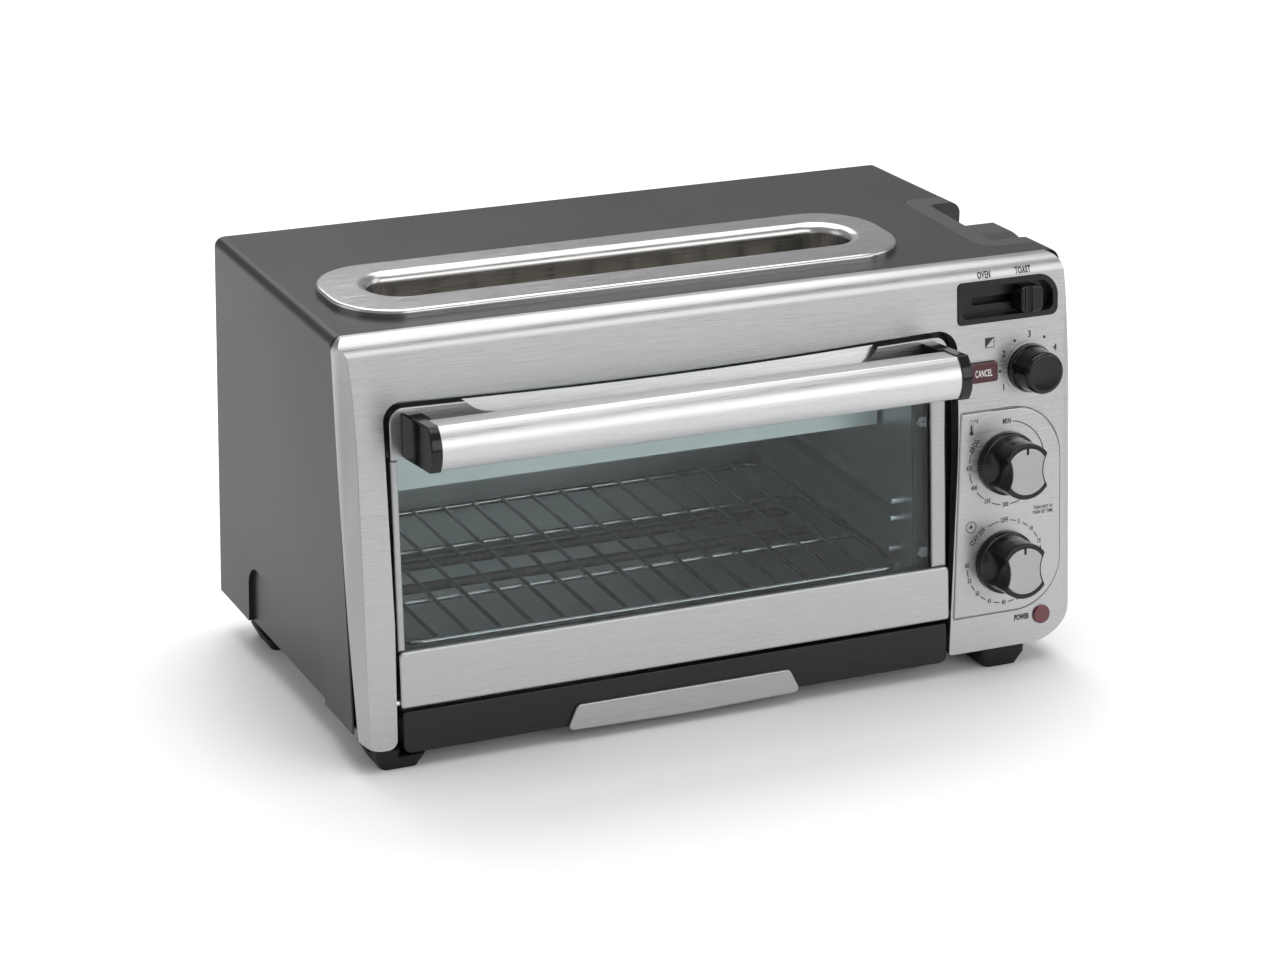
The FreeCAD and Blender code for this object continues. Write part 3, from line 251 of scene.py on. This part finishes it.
def painted_wrap():
    """Semi-gloss dark enamel on sheet steel, with fine orange peel and a faint sparkle."""
    paint = Finish("painted_wrap", (0.022, 0.0218, 0.022), 0.3, 0.0, Specular_IOR_Level=0.22)
    peel = paint.noise(520, detail=2.0)
    mottle = paint.noise(5, detail=2.0)
    grit = paint.noise(2600, detail=1.0)
    paint.colour(mottle, (0.019, 0.0188, 0.0188), (0.025, 0.0246, 0.0246))
    paint.rough(mottle, 0.27, 0.36)
    return paint.bump((peel, 0.12, 0.00006), (grit, 0.08, 0.00002)).material


def galvanised():
    zinc = Finish("galvanised", (0.5, 0.51, 0.52), 0.4, 0.9)
    spangle = zinc.cells(140)
    grey = zinc.node("RGBToBW")
    zinc.link(spangle, grey.inputs["Color"])
    zinc.colour(grey.outputs["Val"], (0.42, 0.43, 0.44), (0.58, 0.59, 0.6), 0.1, 0.9)
    zinc.rough(grey.outputs["Val"], 0.3, 0.5, 0.1, 0.9)
    return zinc.bump((zinc.noise(900), 0.1, 0.00003)).material


def aluminised(name, light, dark, roughness):
    """Aluminised steel sheet: a soft, pale metal with faint rolling marks."""
    sheet = Finish(name, light, roughness, 0.8)
    rolled = sheet.noise(300, (1, 1, 0.03), 3.0)
    bloom = sheet.noise(18, detail=4.0)
    sheet.colour(bloom, dark, light)
    sheet.rough(bloom, roughness - 0.02, roughness + 0.04)
    return sheet.bump((rolled, 0.06, 0.00003), (sheet.noise(1300), 0.04, 0.00002)).material


def bright_wire():
    wire = Finish("bright_wire", (0.3, 0.31, 0.315), 0.14, 1.0)
    haze = wire.noise(60, detail=3.0)
    wire.rough(haze, 0.07, 0.2)
    wire.colour(haze, (0.26, 0.27, 0.275), (0.34, 0.35, 0.355))
    return wire.bump((wire.noise(2200, detail=2.0), 0.06, 0.00002)).material


def heater_sheath():
    sheath = Finish("heater_sheath", (0.13, 0.125, 0.12), 0.45, 0.85)
    scale = sheath.noise(350, detail=5.0)
    sheath.colour(scale, (0.04, 0.038, 0.036), (0.11, 0.105, 0.1))
    sheath.rough(scale, 0.34, 0.6)
    return sheath.bump((scale, 0.3, 0.00005)).material


def mica():
    board = Finish("mica", (0.55, 0.5, 0.42), 0.45, 0.0, Sheen_Weight=0.1)
    flakes = board.cells(420)
    grey = board.node("RGBToBW")
    board.link(flakes, grey.inputs["Color"])
    board.colour(grey.outputs["Val"], (0.42, 0.37, 0.29), (0.72, 0.67, 0.58), 0.1, 0.9)
    board.rough(grey.outputs["Val"], 0.3, 0.6, 0.1, 0.9)
    return board.bump((grey.outputs["Val"], 0.2, 0.00004)).material


def plastic(name, low, high, roughness, grain, strength, **sockets):
    """Moulded plastic: a spark-eroded grain and slight changes of gloss."""
    body = Finish(name, high, roughness, 0.0, **sockets)
    texture = body.noise(grain, detail=3.0)
    patches = body.noise(35, detail=3.0)
    body.colour(texture, low, high)
    body.rough(patches, roughness - 0.06, roughness + 0.06)
    return body.bump((texture, strength, 0.00005)).material


def circuit_board():
    board = Finish("board_green", (0.03, 0.14, 0.06), 0.35, 0.0, Coat_Weight=0.5)
    tracks = board.node("TexBrick")
    tracks.inputs["Scale"].default_value = 180
    tracks.inputs["Color1"].default_value = (0.02, 0.12, 0.05, 1)
    tracks.inputs["Color2"].default_value = (0.03, 0.17, 0.07, 1)
    tracks.inputs["Mortar"].default_value = (0.3, 0.22, 0.07, 1)
    tracks.inputs["Mortar Size"].default_value = 0.012
    board.link(board.coords, tracks.inputs["Vector"])
    board.link(tracks.outputs["Color"], board.shader.inputs["Base Color"])
    return board.bump((tracks.outputs["Fac"], 0.2, 0.00003)).material


def wound_coil():
    coil = Finish("coil_black", (0.06, 0.045, 0.04), 0.4, 0.0, Coat_Weight=0.3)
    turns = coil.noise(900, (0.02, 0.02, 1), 1.0)
    coil.colour(turns, (0.03, 0.022, 0.02), (0.24, 0.1, 0.04))
    return coil.bump((turns, 0.6, 0.0001)).material


def screw_steel():
    zinc = Finish("screw_steel", (0.62, 0.62, 0.63), 0.25, 1.0)
    turned = zinc.noise(1400, detail=4.0)
    zinc.colour(turned, (0.5, 0.5, 0.51), (0.72, 0.72, 0.73))
    zinc.rough(turned, 0.18, 0.36)
    return zinc.bump((turned, 0.2, 0.00003)).material


def door_glass():
    """Clear toughened glass with a faint green cast and a trace of haze."""
    pane = Finish("door_glass", (0.86, 0.93, 0.92), 0.0, 0.0, Transmission_Weight=1.0, IOR=1.3)
    haze = pane.noise(14, detail=4.0)
    pane.rough(haze, 0.0, 0.006, 0.45, 0.75)
    pane.colour(haze, (0.85, 0.925, 0.915), (0.9, 0.95, 0.945))
    return pane.bump((pane.noise(12, detail=1.0), 0.01, 0.0001)).material


def red_lens():
    lens = Finish("red_lens", (0.12, 0.01, 0.015), 0.14, 0.0, Coat_Weight=0.4)
    prisms = lens.cells(700, output="Distance")
    lens.colour(prisms, (0.035, 0.003, 0.006), (0.12, 0.012, 0.018), 0.1, 0.6)
    return lens.bump((prisms, 0.35, 0.0002)).material


def satin_inlay():
    """Satin-plated plastic, with only a very fine grain."""
    plated = Finish("satin_inlay", (0.44, 0.435, 0.42), 0.34, 0.9)
    grain = plated.noise(3200, detail=3.0)
    plated.colour(grain, (0.33, 0.325, 0.315), (0.38, 0.375, 0.365))
    plated.rough(plated.noise(40), 0.3, 0.4)
    return plated.bump((grain, 0.12, 0.00002)).material


def print_and_shade_ink(name, colour):
    """Screen-printed ink, also used for a painted shade line: nearly flat, with a slightly uneven film."""
    ink = Finish(name, colour, 0.6)
    film = ink.noise(1800, detail=2.0)
    lighter = tuple(min(1.0, c * 1.15 + 0.01) for c in colour)
    ink.colour(film, colour, lighter)
    return ink.bump((film, 0.05, 0.00001)).material


def floor_paper():
    paper = Finish("floor_paper", (0.86, 0.86, 0.86), 0.6)
    paper.colour(paper.noise(3, detail=2.0), (0.85, 0.85, 0.85), (0.87, 0.87, 0.87))
    return paper.bump((paper.noise(400), 0.02, 0.00005)).material


FINISHES = {
    "painted_wrap": painted_wrap(),
    "brushed_front": brushed("brushed_front", grey(0.42, 0.005), grey(0.385, 0.005), 0.3, 0.000008),
    "polished_ring": brushed("polished_ring", (0.5, 0.49, 0.48), (0.43, 0.42, 0.41), 0.2, 0.000006),
    "handle_steel": brushed("handle_steel", grey(0.57, 0.005), grey(0.51, 0.005), 0.3, 0.000006),
    "satin_trim": brushed("satin_trim", grey(0.37, 0.005), grey(0.335, 0.005), 0.33, 0.000004),
    # Painted shade: the front frame behind the door glass is near-black plastic, standing in for the shadow it
    # sits in.
    "dark_frame": plastic("dark_frame", (0.012, 0.0125, 0.013), (0.02, 0.0205, 0.021), 0.35, 700, 0.1),
    "galvanised": galvanised(),
    "cavity_steel": aluminised("cavity_steel", (0.52, 0.555, 0.555), (0.44, 0.475, 0.475), 0.38),
    "tray_steel": aluminised("tray_steel", (0.52, 0.54, 0.545), (0.44, 0.46, 0.465), 0.38),
    "bright_wire": bright_wire(),
    "heater_sheath": heater_sheath(),
    "ribbon_alloy": brushed("ribbon_alloy", (0.42, 0.4, 0.37), (0.26, 0.24, 0.22), 0.35, 0.00001),
    "mica": mica(),
    "ceramic_white": plastic("ceramic_white", (0.74, 0.73, 0.69), (0.84, 0.83, 0.79), 0.3, 900, 0.15),
    "matte_black": plastic("matte_black", grey(0.012, 0.001), grey(0.022, 0.001), 0.5, 1500, 0.35),
    "satin_black": plastic(
        "satin_black", grey(0.004, 0.0005), grey(0.008, 0.0005), 0.3, 1300, 0.12, Specular_IOR_Level=0.35
    ),
    "gloss_black": plastic(
        "gloss_black", grey(0.004, 0.0005), grey(0.007, 0.0005), 0.14, 600, 0.03, Specular_IOR_Level=0.35
    ),
    "foot_black": plastic("foot_black", grey(0.005), grey(0.009), 0.5, 1200, 0.3, Specular_IOR_Level=0.25),
    "rubber_black": plastic("rubber_black", grey(0.012), grey(0.02), 0.7, 800, 0.3),
    "coil_black": wound_coil(),
    "board_green": circuit_board(),
    "red_lens": red_lens(),
    "maroon_plastic": plastic("maroon_plastic", (0.05, 0.005, 0.01), (0.065, 0.007, 0.013), 0.25, 900, 0.08),
    "screw_steel": screw_steel(),
    "door_glass": door_glass(),
    "satin_inlay": satin_inlay(),
}
BLACK_INK = print_and_shade_ink("black_ink", (0.015, 0.015, 0.016))
WHITE_INK = print_and_shade_ink("white_ink", (0.8, 0.79, 0.78))
# Painted shade: dark grey for the thin line round the raised dial field, standing in for the shadow at its step.
PAINTED_SHADE_INK = print_and_shade_ink("painted_shade_ink", (0.1, 0.1, 0.1))


def finish_cad_nodes():
    """Gives each CAD node the finish of its material slot in the record."""
    for part in frame["record"]["subparts"]:
        node = nodes[part["node"]]
        node.data.materials.clear()
        node.data.materials.append(FINISHES[part["material_slot"]])


# ---------------------------------------------------------------- meshes
def add_piece(name, vertices, faces, finish, body, crease=40):
    """A smooth-shaded mesh, sharp where faces turn by more than crease degrees, riding on a CAD body."""
    mesh = bpy.data.meshes.new(name)
    mesh.from_pydata([tuple(v) for v in vertices], [], faces)
    mesh.validate()
    mesh.polygons.foreach_set("use_smooth", [True] * len(mesh.polygons))
    mesh.set_sharp_from_angle(angle=math.radians(crease))
    mesh.materials.append(finish)
    piece = bpy.data.objects.new(name, mesh)
    bpy.context.scene.collection.objects.link(piece)
    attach(piece, body)
    return piece


def loft(rings):
    """Vertices and faces of a closed skin over rings of equally many points, all the same way round."""
    count = len(rings[0])
    vertices = [point for ring in rings for point in ring]
    faces = []
    for low in range(len(rings) - 1):
        for i in range(count):
            j = (i + 1) % count
            faces.append((low * count + i, low * count + j, (low + 1) * count + j, (low + 1) * count + i))
    faces.append(tuple(reversed(range(count))))
    last = (len(rings) - 1) * count
    faces.append(tuple(last + i for i in range(count)))
    return vertices, faces


def face_frame(centre):
    """Matrix from across, up and out of the leaning front, round a centre, to the row frame."""
    axes = Matrix((ACROSS, UP_FACE, OUT)).transposed().to_4x4()
    return Matrix.Translation(centre) @ axes


def face_centre(node):
    low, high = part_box(node)
    return (low + high) / 2


def smoothstep(value):
    value = min(1.0, max(0.0, value))
    return value * value * (3 - 2 * value)


# ---------------------------------------------------------------- knobs
def waisted(angle, radius, waist, scoop, soften=1.2 * MM):
    """Distance from the middle, at an angle, of a circle whose two sides are scooped to a waist."""
    across = abs(math.cos(angle))
    centre = waist + scoop
    inside = scoop**2 - (centre * math.sin(angle)) ** 2
    if inside <= 0:
        return radius
    side = centre * across - math.sqrt(inside)
    if side <= 0:
        return radius
    blend = max(soften - abs(side - radius), 0) / soften
    return min(side, radius) - blend * blend * soften / 4


def turned_ring(height, distance):
    """Ring at a height out of the panel, whose distance from the axis depends on the angle."""
    angles = [2 * math.pi * i / KNOB_SIDES for i in range(KNOB_SIDES)]
    return [Vector((distance(a) * math.cos(a), distance(a) * math.sin(a), height)) for a in angles]


def large_knob_rings(height):
    """Rings from the skirt, through the scooped sides, over the rim and down into the inlay's pocket."""
    def circle(radius):
        return lambda angle: radius

    def grip(spread):
        return lambda angle: waisted(angle, GRIP_RADIUS, GRIP_WAIST, GRIP_SCOOP) + spread

    def blended(share, radius):
        shape = grip(0.5 * MM * (1 - share))
        return lambda angle: radius + (shape(angle) - radius) * share

    chamfer = 0.5 * MM
    edge = 1.2 * MM
    wall = SKIRT_RADIUS - 0.15 * MM
    neck = SKIRT_RADIUS - 1.6 * MM
    rings = [turned_ring(SKIRT_LOW, circle(SKIRT_RADIUS - chamfer))]
    rings.append(turned_ring(SKIRT_LOW + chamfer, circle(SKIRT_RADIUS)))
    rings.append(turned_ring(SKIRT_TOP - 1.6 * MM, circle(wall)))
    for step in range(1, 5):
        turn = step * math.pi / 8
        rounded = circle(wall - edge + edge * math.cos(turn))
        rings.append(turned_ring(SKIRT_TOP - edge + edge * math.sin(turn), rounded))
    steps = 14
    for step in range(1, steps + 1):
        share = step / steps
        level = SKIRT_TOP + (BLEND_TOP - SKIRT_TOP) * share**1.6
        rings.append(turned_ring(level, blended(smoothstep(share * 0.98 + 0.02), neck)))
    rim = 1.1 * MM
    rings.append(turned_ring(height - 2.2 * rim, grip(0)))
    for step in range(5):
        turn = step * math.pi / 8
        rings.append(turned_ring(height - rim + rim * math.sin(turn), grip(rim * (math.cos(turn) - 1))))
    pocket = inlay_outline(0.25 * MM)
    rings.append(turned_ring(height, pocket))
    rings.append(turned_ring(height - POCKET, pocket))
    return rings


def inlay_outline(grow):
    return lambda angle: waisted(angle, INLAY_RADIUS, INLAY_WAIST, GRIP_SCOOP, 0.5 * MM) + grow


def inlay_rings(height):
    """A thin plate with a softened edge and a slightly dished face."""
    edge = 0.35 * MM
    rings = [turned_ring(height - POCKET, inlay_outline(0))]
    rings.append(turned_ring(height - edge, inlay_outline(0)))
    rings.append(turned_ring(height - 0.1 * MM, inlay_outline(-0.25 * MM)))
    rings.append(turned_ring(height, inlay_outline(-edge - 0.25 * MM)))
    for share in (0.75, 0.5, 0.25, 0.05):
        outline = inlay_outline(0)
        dish = 0.35 * MM * (1 - share * share)
        rings.append(turned_ring(height - dish, lambda angle, s=share, o=outline: o(angle) * s))
    return rings


def pointer_bar(start, end, width, low, high, sides=16):
    """A round-ended bar up the face from start to end, with a softened top."""
    rings = []
    for level, inset in ((low, 0), (high - 0.3 * MM, 0), (high - 0.08 * MM, 0.1 * MM), (high, 0.32 * MM)):
        ring = []
        for i in range(sides):
            angle = 2 * math.pi * i / sides
            reach = width / 2 - inset
            middle = end if math.sin(angle) >= 0 else start
            ring.append(Vector((reach * math.cos(angle), middle + reach * math.sin(angle), level)))
        rings.append(ring)
    return loft(rings)


def add_knob_piece(name, shape, place, finish, body, crease=40):
    """A loft drawn across, up and out of the panel, set in its place on the leaning front."""
    vertices, faces = shape
    return add_piece(name, [place @ v for v in vertices], faces, FINISHES[finish], body, crease)


def add_large_knob(control, joint):
    """Scooped black knob with a satin metal inlay and a black pointer at its top."""
    centre = Vector(joints[joint]["pos_m"])
    place = face_frame(centre)
    body = control + "_control"
    front = max((Vector(v.co) - centre).dot(OUT) for v in nodes[control + "_knob"].data.vertices)
    grip = loft(large_knob_rings(front))
    knob = add_knob_piece(control + "_grip", grip, place, "gloss_black", body)
    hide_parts(control + "_knob")
    plate = loft(inlay_rings(front + 0.15 * MM))
    inlay = add_knob_piece(control + "_plate", plate, place, "satin_inlay", body)
    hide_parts(control + "_inlay")
    bar = pointer_bar(11.6 * MM, 14.6 * MM, 1.9 * MM, front - 0.8 * MM, front + 0.3 * MM)
    add_knob_piece(control + "_pointer", bar, place, "gloss_black", body)


def add_shade_knob():
    """Small turned knob: flared skirt, drawn-in neck, soft shoulder and a dished face with a pointer bar."""
    place = face_frame(Vector(joints["shade_turn"]["pos_m"]))
    turned = loft([turned_ring(h * MM, lambda angle, r=r: r * MM) for h, r in SHADE_PROFILE])
    knob = add_knob_piece("shade_grip", turned, place, "gloss_black", "shade_control", 50)
    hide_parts("shade_knob")
    bar = pointer_bar(8.4 * MM, 10.2 * MM, 1.0 * MM, 18.8 * MM, 19.98 * MM)
    add_knob_piece("shade_pointer", bar, place, "gloss_black", "shade_control")


# ---------------------------------------------------------------- printed marks and a painted shade line
class Marks:
    """Flat printed shapes, and one painted shade line, drawn in millimetres across and up from a centre and laid
    on a CAD surface.
    """

    def __init__(self, name, ink, body, surface, lift=INK_LIFT):
        self.name = name
        self.lift = lift
        self.ink = ink
        self.body = body
        self.tree = BVHTree.FromPolygons(
            [v.co.copy() for v in nodes[surface].data.vertices],
            [tuple(p.vertices) for p in nodes[surface].data.polygons],
        )
        self.vertices = []
        self.faces = []
        self.place = None

    def at(self, centre):
        self.place = face_frame(centre)
        return self

    def settle(self, across, up):
        """Point on the surface under (across, up), lifted clear of it."""
        flat = self.place @ Vector((across * MM, up * MM, 0))
        hit = self.tree.ray_cast(flat + OUT * RAY_START, INWARD)[0]
        return (hit if hit else flat) + OUT * self.lift

    def shape(self, points, faces):
        first = len(self.vertices)
        self.vertices += [self.settle(*p) for p in points]
        self.faces += [tuple(first + i for i in face) for face in faces]

    def text(self, words, height, across, up, turn=0, squeeze=0.64, bold=BOLD):
        """Words in capitals this high, centred at (across, up) and turned anticlockwise by turn."""
        curve = bpy.data.curves.new("words", "FONT")
        curve.body = words
        curve.align_x = "CENTER"
        curve.align_y = "CENTER"
        curve.offset = bold
        curve.space_character = LETTER_GAP
        curve.resolution_u = 3
        holder = bpy.data.objects.new("words", curve)
        bpy.context.scene.collection.objects.link(holder)
        letters = holder.evaluated_get(bpy.context.evaluated_depsgraph_get()).to_mesh()
        scale = height / CAPITAL
        angle = math.radians(turn)
        points = []
        for v in letters.vertices:
            a = v.co.x * scale * squeeze
            b = v.co.y * scale
            right = a * math.cos(angle) - b * math.sin(angle)
            raised = a * math.sin(angle) + b * math.cos(angle)
            points.append((across + right, up + raised))
        self.shape(points, [tuple(p.vertices) for p in letters.polygons])
        bpy.data.objects.remove(holder)
        bpy.data.curves.remove(curve)

    def arc(self, radius, start, end, width, across=0, up=0):
        """Part of a ring; angles are clockwise from the top, in degrees."""
        steps = max(3, int(abs(end - start) / 5))
        points = []
        for i in range(steps + 1):
            angle = math.radians(start + (end - start) * i / steps)
            for reach in (radius - width / 2, radius + width / 2):
                points.append((across + reach * math.sin(angle), up + reach * math.cos(angle)))
        self.shape(points, [(2 * i, 2 * i + 2, 2 * i + 3, 2 * i + 1) for i in range(steps)])

    def dot(self, radius, across, up, sides=20):
        angles = [2 * math.pi * i / sides for i in range(sides)]
        self.outline([(across + radius * math.sin(a), up + radius * math.cos(a)) for a in angles])

    def outline(self, corners):
        self.shape(corners, [tuple(range(len(corners)))])

    def bar(self, left, bottom, right, top):
        self.outline([(left, bottom), (right, bottom), (right, top), (left, top)])

    def done(self):
        add_piece(self.name, self.vertices, self.faces, self.ink, self.body)


def clock_place(radius, angle):
    """Across and up of a point on a dial, the angle clockwise from the top in degrees."""
    return radius * math.sin(math.radians(angle)), radius * math.cos(math.radians(angle))


def temperature_marks():
    marks = Marks("temperature_marks", BLACK_INK, "oven_body", "front_bezel")
    marks.at(Vector(joints["temperature_turn"]["pos_m"]))
    marks.text("MIN", WORD, *clock_place(DIAL, 0))
    marks.arc(DIAL, 9, 104, LINE)
    marks.text("BROIL", WORD, *clock_place(DIAL, 301), turn=59)
    step = 29.1
    for i, number in enumerate(("250", "300", "350", "400", "450")):
        angle = 153 + step * i
        marks.text(number, NUMERAL, *clock_place(DIAL, angle))
        marks.arc(DIAL, angle + 7.5, angle + step - 7.5, LINE)
    thermometer(marks, *THERMOMETER_AT)
    across, up = NOTE_AT
    marks.text("TURN PAST 10", NOTE, across, up)
    marks.text("THEN SET TIME", NOTE, across, up - NOTE_LEADING)
    marks.done()


def thermometer(marks, across, up):
    """Small thermometer with a degree sign and an F beside it."""
    marks.dot(1.35, across, up - 4.2)
    marks.bar(across - 0.5, up - 4.2, across + 0.5, up + 1)
    for side in (across - 1.05, across + 1.05):
        marks.bar(side - THIN_LINE / 2, up - 3.3, side + THIN_LINE / 2, up + 3)
    marks.arc(1.05, -90, 90, THIN_LINE, across, up + 3)
    marks.arc(0.55, 0, 360, THIN_LINE, across + 2.6, up + 3.6)
    marks.text("F", 2.7, across + 4.2, up + 2.6)


def timer_marks():
    marks = Marks("timer_marks", BLACK_INK, "oven_body", "front_bezel")
    marks.at(Vector(joints["timer_turn"]["pos_m"]))
    marks.text("OFF", 3.1, *clock_place(DIAL, 0))
    marks.text("STAY ON", 3.1, *clock_place(DIAL, 314), turn=46)
    marks.arc(DIAL, 335, 352, LINE)
    step = 272 / 12
    marks.arc(DIAL, 8.5, step - 4, LINE)
    for i in range(1, 13):
        angle = step * i
        marks.text(str(5 * i), NUMERAL, *clock_place(DIAL, angle))
        if i < 12:
            marks.arc(DIAL, angle + 6.5, angle + step - 6.5, LINE)
    clock_face(marks, *CLOCK_AT)
    marks.done()


def clock_face(marks, across, up):
    """Small clock that shows nine o'clock."""
    marks.arc(CLOCK_RADIUS, 0, 360, 0.5, across, up)
    marks.arc(0.5, 0, 360, 1.0, across, up)
    marks.bar(across - 0.25, up, across + 0.25, up + 2.4)
    left = across - 1.9
    marks.outline([(left, up - 0.6), (across, up - 0.25), (across, up + 0.25), (left, up - 0.1)])


def shade_marks():
    marks = Marks("shade_marks", BLACK_INK, "oven_body", "front_bezel")
    marks.at(Vector(joints["shade_turn"]["pos_m"]))
    for i, mark in enumerate(("1", "", "2", "", "3", "", "4")):
        across, up = clock_place(SHADE_DIAL, 30 * i - 120)
        if mark:
            marks.text(mark, 4.0, across, up, squeeze=0.78)
        else:
            marks.dot(0.95, across, up)
    half_square(marks, *ICON_AT)
    marks.done()


def half_square(marks, across, up):
    """Square icon, dark over its upper left half and outlined elsewhere."""
    thin = 0.4
    left = across - ICON_REACH
    right = across + ICON_REACH
    bottom = up - ICON_REACH
    top = up + ICON_REACH
    marks.outline([(left, bottom), (right, top), (left, top)])
    marks.bar(left, bottom, right, bottom + thin)
    marks.bar(right - thin, bottom, right, top)


def pad_painted_shade_line():
    """Painted shade: a thin dark line round the raised field that carries the two large dials, standing in for the
    shadow at the field's step.
    """
    marks = Marks("pad_painted_shade_line", PAINTED_SHADE_INK, "oven_body", "front_bezel")
    marks.at(Vector(joints["temperature_turn"]["pos_m"]))
    path = [PAD_TOP_LEFT]
    for middle_across, middle_up, radius, start in PAD_ROUNDS:
        for step in range(13):
            across, up = clock_place(radius, start + 7.5 * step)
            path.append((middle_across + across, middle_up + up))
    path.append(PAD_BOTTOM_LEFT)
    for start, end in zip(map(Vector, path), map(Vector, path[1:])):
        along = (end - start).normalized() * LINE / 2
        side = Vector((-along.y, along.x))
        steps = 1 + int((end - start).length / 8)
        for i in range(steps):
            first = start.lerp(end, i / steps)
            last = start.lerp(end, (i + 1) / steps)
            marks.outline([tuple(first - side), tuple(last - side), tuple(last + side), tuple(first + side)])
    marks.done()


def switch_marks():
    marks = Marks("switch_marks", BLACK_INK, "oven_body", "front_bezel", lift=CURVE_LIFT)
    marks.at(face_centre("switch_plate"))
    marks.text("OVEN", 4.0, -16.4, 16.6, squeeze=NARROW)
    marks.text("TOAST", 4.0, 10.7, 16.9, squeeze=NARROW)
    marks.at(face_centre("power_lens"))
    marks.text("POWER", 3.5, -14.0, -0.4, squeeze=NARROW)
    marks.done()


def cancel_mark():
    marks = Marks("cancel_mark", WHITE_INK, "cancel_control", "cancel_button")
    marks.at(face_centre("cancel_button"))
    marks.text("CANCEL", 4.2, 0, -0.3, squeeze=0.47, bold=0.008)
    marks.done()


# ---------------------------------------------------------------- floor, light and camera
def add_floor():
    mesh = bpy.data.meshes.new("floor")
    corners = [(x * FLOOR_REACH, y * FLOOR_REACH, 0) for x, y in ((-1, -1), (1, -1), (1, 1), (-1, 1))]
    mesh.from_pydata(corners, [], [(0, 1, 2, 3)])
    mesh.materials.append(floor_paper())
    floor = bpy.data.objects.new("floor", mesh)
    bpy.context.scene.collection.objects.link(floor)


def add_softbox(name, place, aim, width, height, power):
    light = bpy.data.lights.new(name, "AREA")
    light.shape = "RECTANGLE"
    light.size = width
    light.size_y = height
    light.energy = power
    holder = bpy.data.objects.new(name, light)
    holder.location = place
    holder.rotation_euler = (Vector(aim) - Vector(place)).to_track_quat("-Z", "Y").to_euler()
    bpy.context.scene.collection.objects.link(holder)


def add_lights():
    for softbox in SOFTBOXES:
        add_softbox(*softbox)
    world = bpy.data.worlds.new("studio")
    world.use_nodes = True
    sky = world.node_tree.nodes["Background"]
    sky.inputs["Color"].default_value = SKY_COLOUR
    sky.inputs["Strength"].default_value = SKY_STRENGTH
    bpy.context.scene.world = world


def add_camera():
    back = Vector(
        (
            math.sin(AZIMUTH) * math.cos(ELEVATION),
            -math.cos(AZIMUTH) * math.cos(ELEVATION),
            math.sin(ELEVATION),
        )
    )
    level = Vector((math.cos(AZIMUTH), math.sin(AZIMUTH), 0))
    upright = back.cross(level)
    right = math.cos(ROLL) * level + math.sin(ROLL) * upright
    up = math.cos(ROLL) * upright - math.sin(ROLL) * level
    camera = bpy.data.objects.new("camera", bpy.data.cameras.new("camera"))
    camera.data.lens = LENS
    camera.data.sensor_width = SENSOR
    camera.data.clip_start = 0.05
    turned = Matrix((right, up, back)).transposed().to_4x4()
    camera.matrix_world = Matrix.Translation(TARGET + back * DISTANCE) @ turned
    bpy.context.scene.collection.objects.link(camera)
    bpy.context.scene.camera = camera


finish_cad_nodes()
add_large_knob("temperature", "temperature_turn")
add_large_knob("timer", "timer_turn")
add_shade_knob()
temperature_marks()
timer_marks()
shade_marks()
# Painted shade line round the raised dial field.
pad_painted_shade_line()
switch_marks()
cancel_mark()
add_floor()
add_lights()
add_camera()
bpy.context.scene.view_settings.view_transform = "Standard"
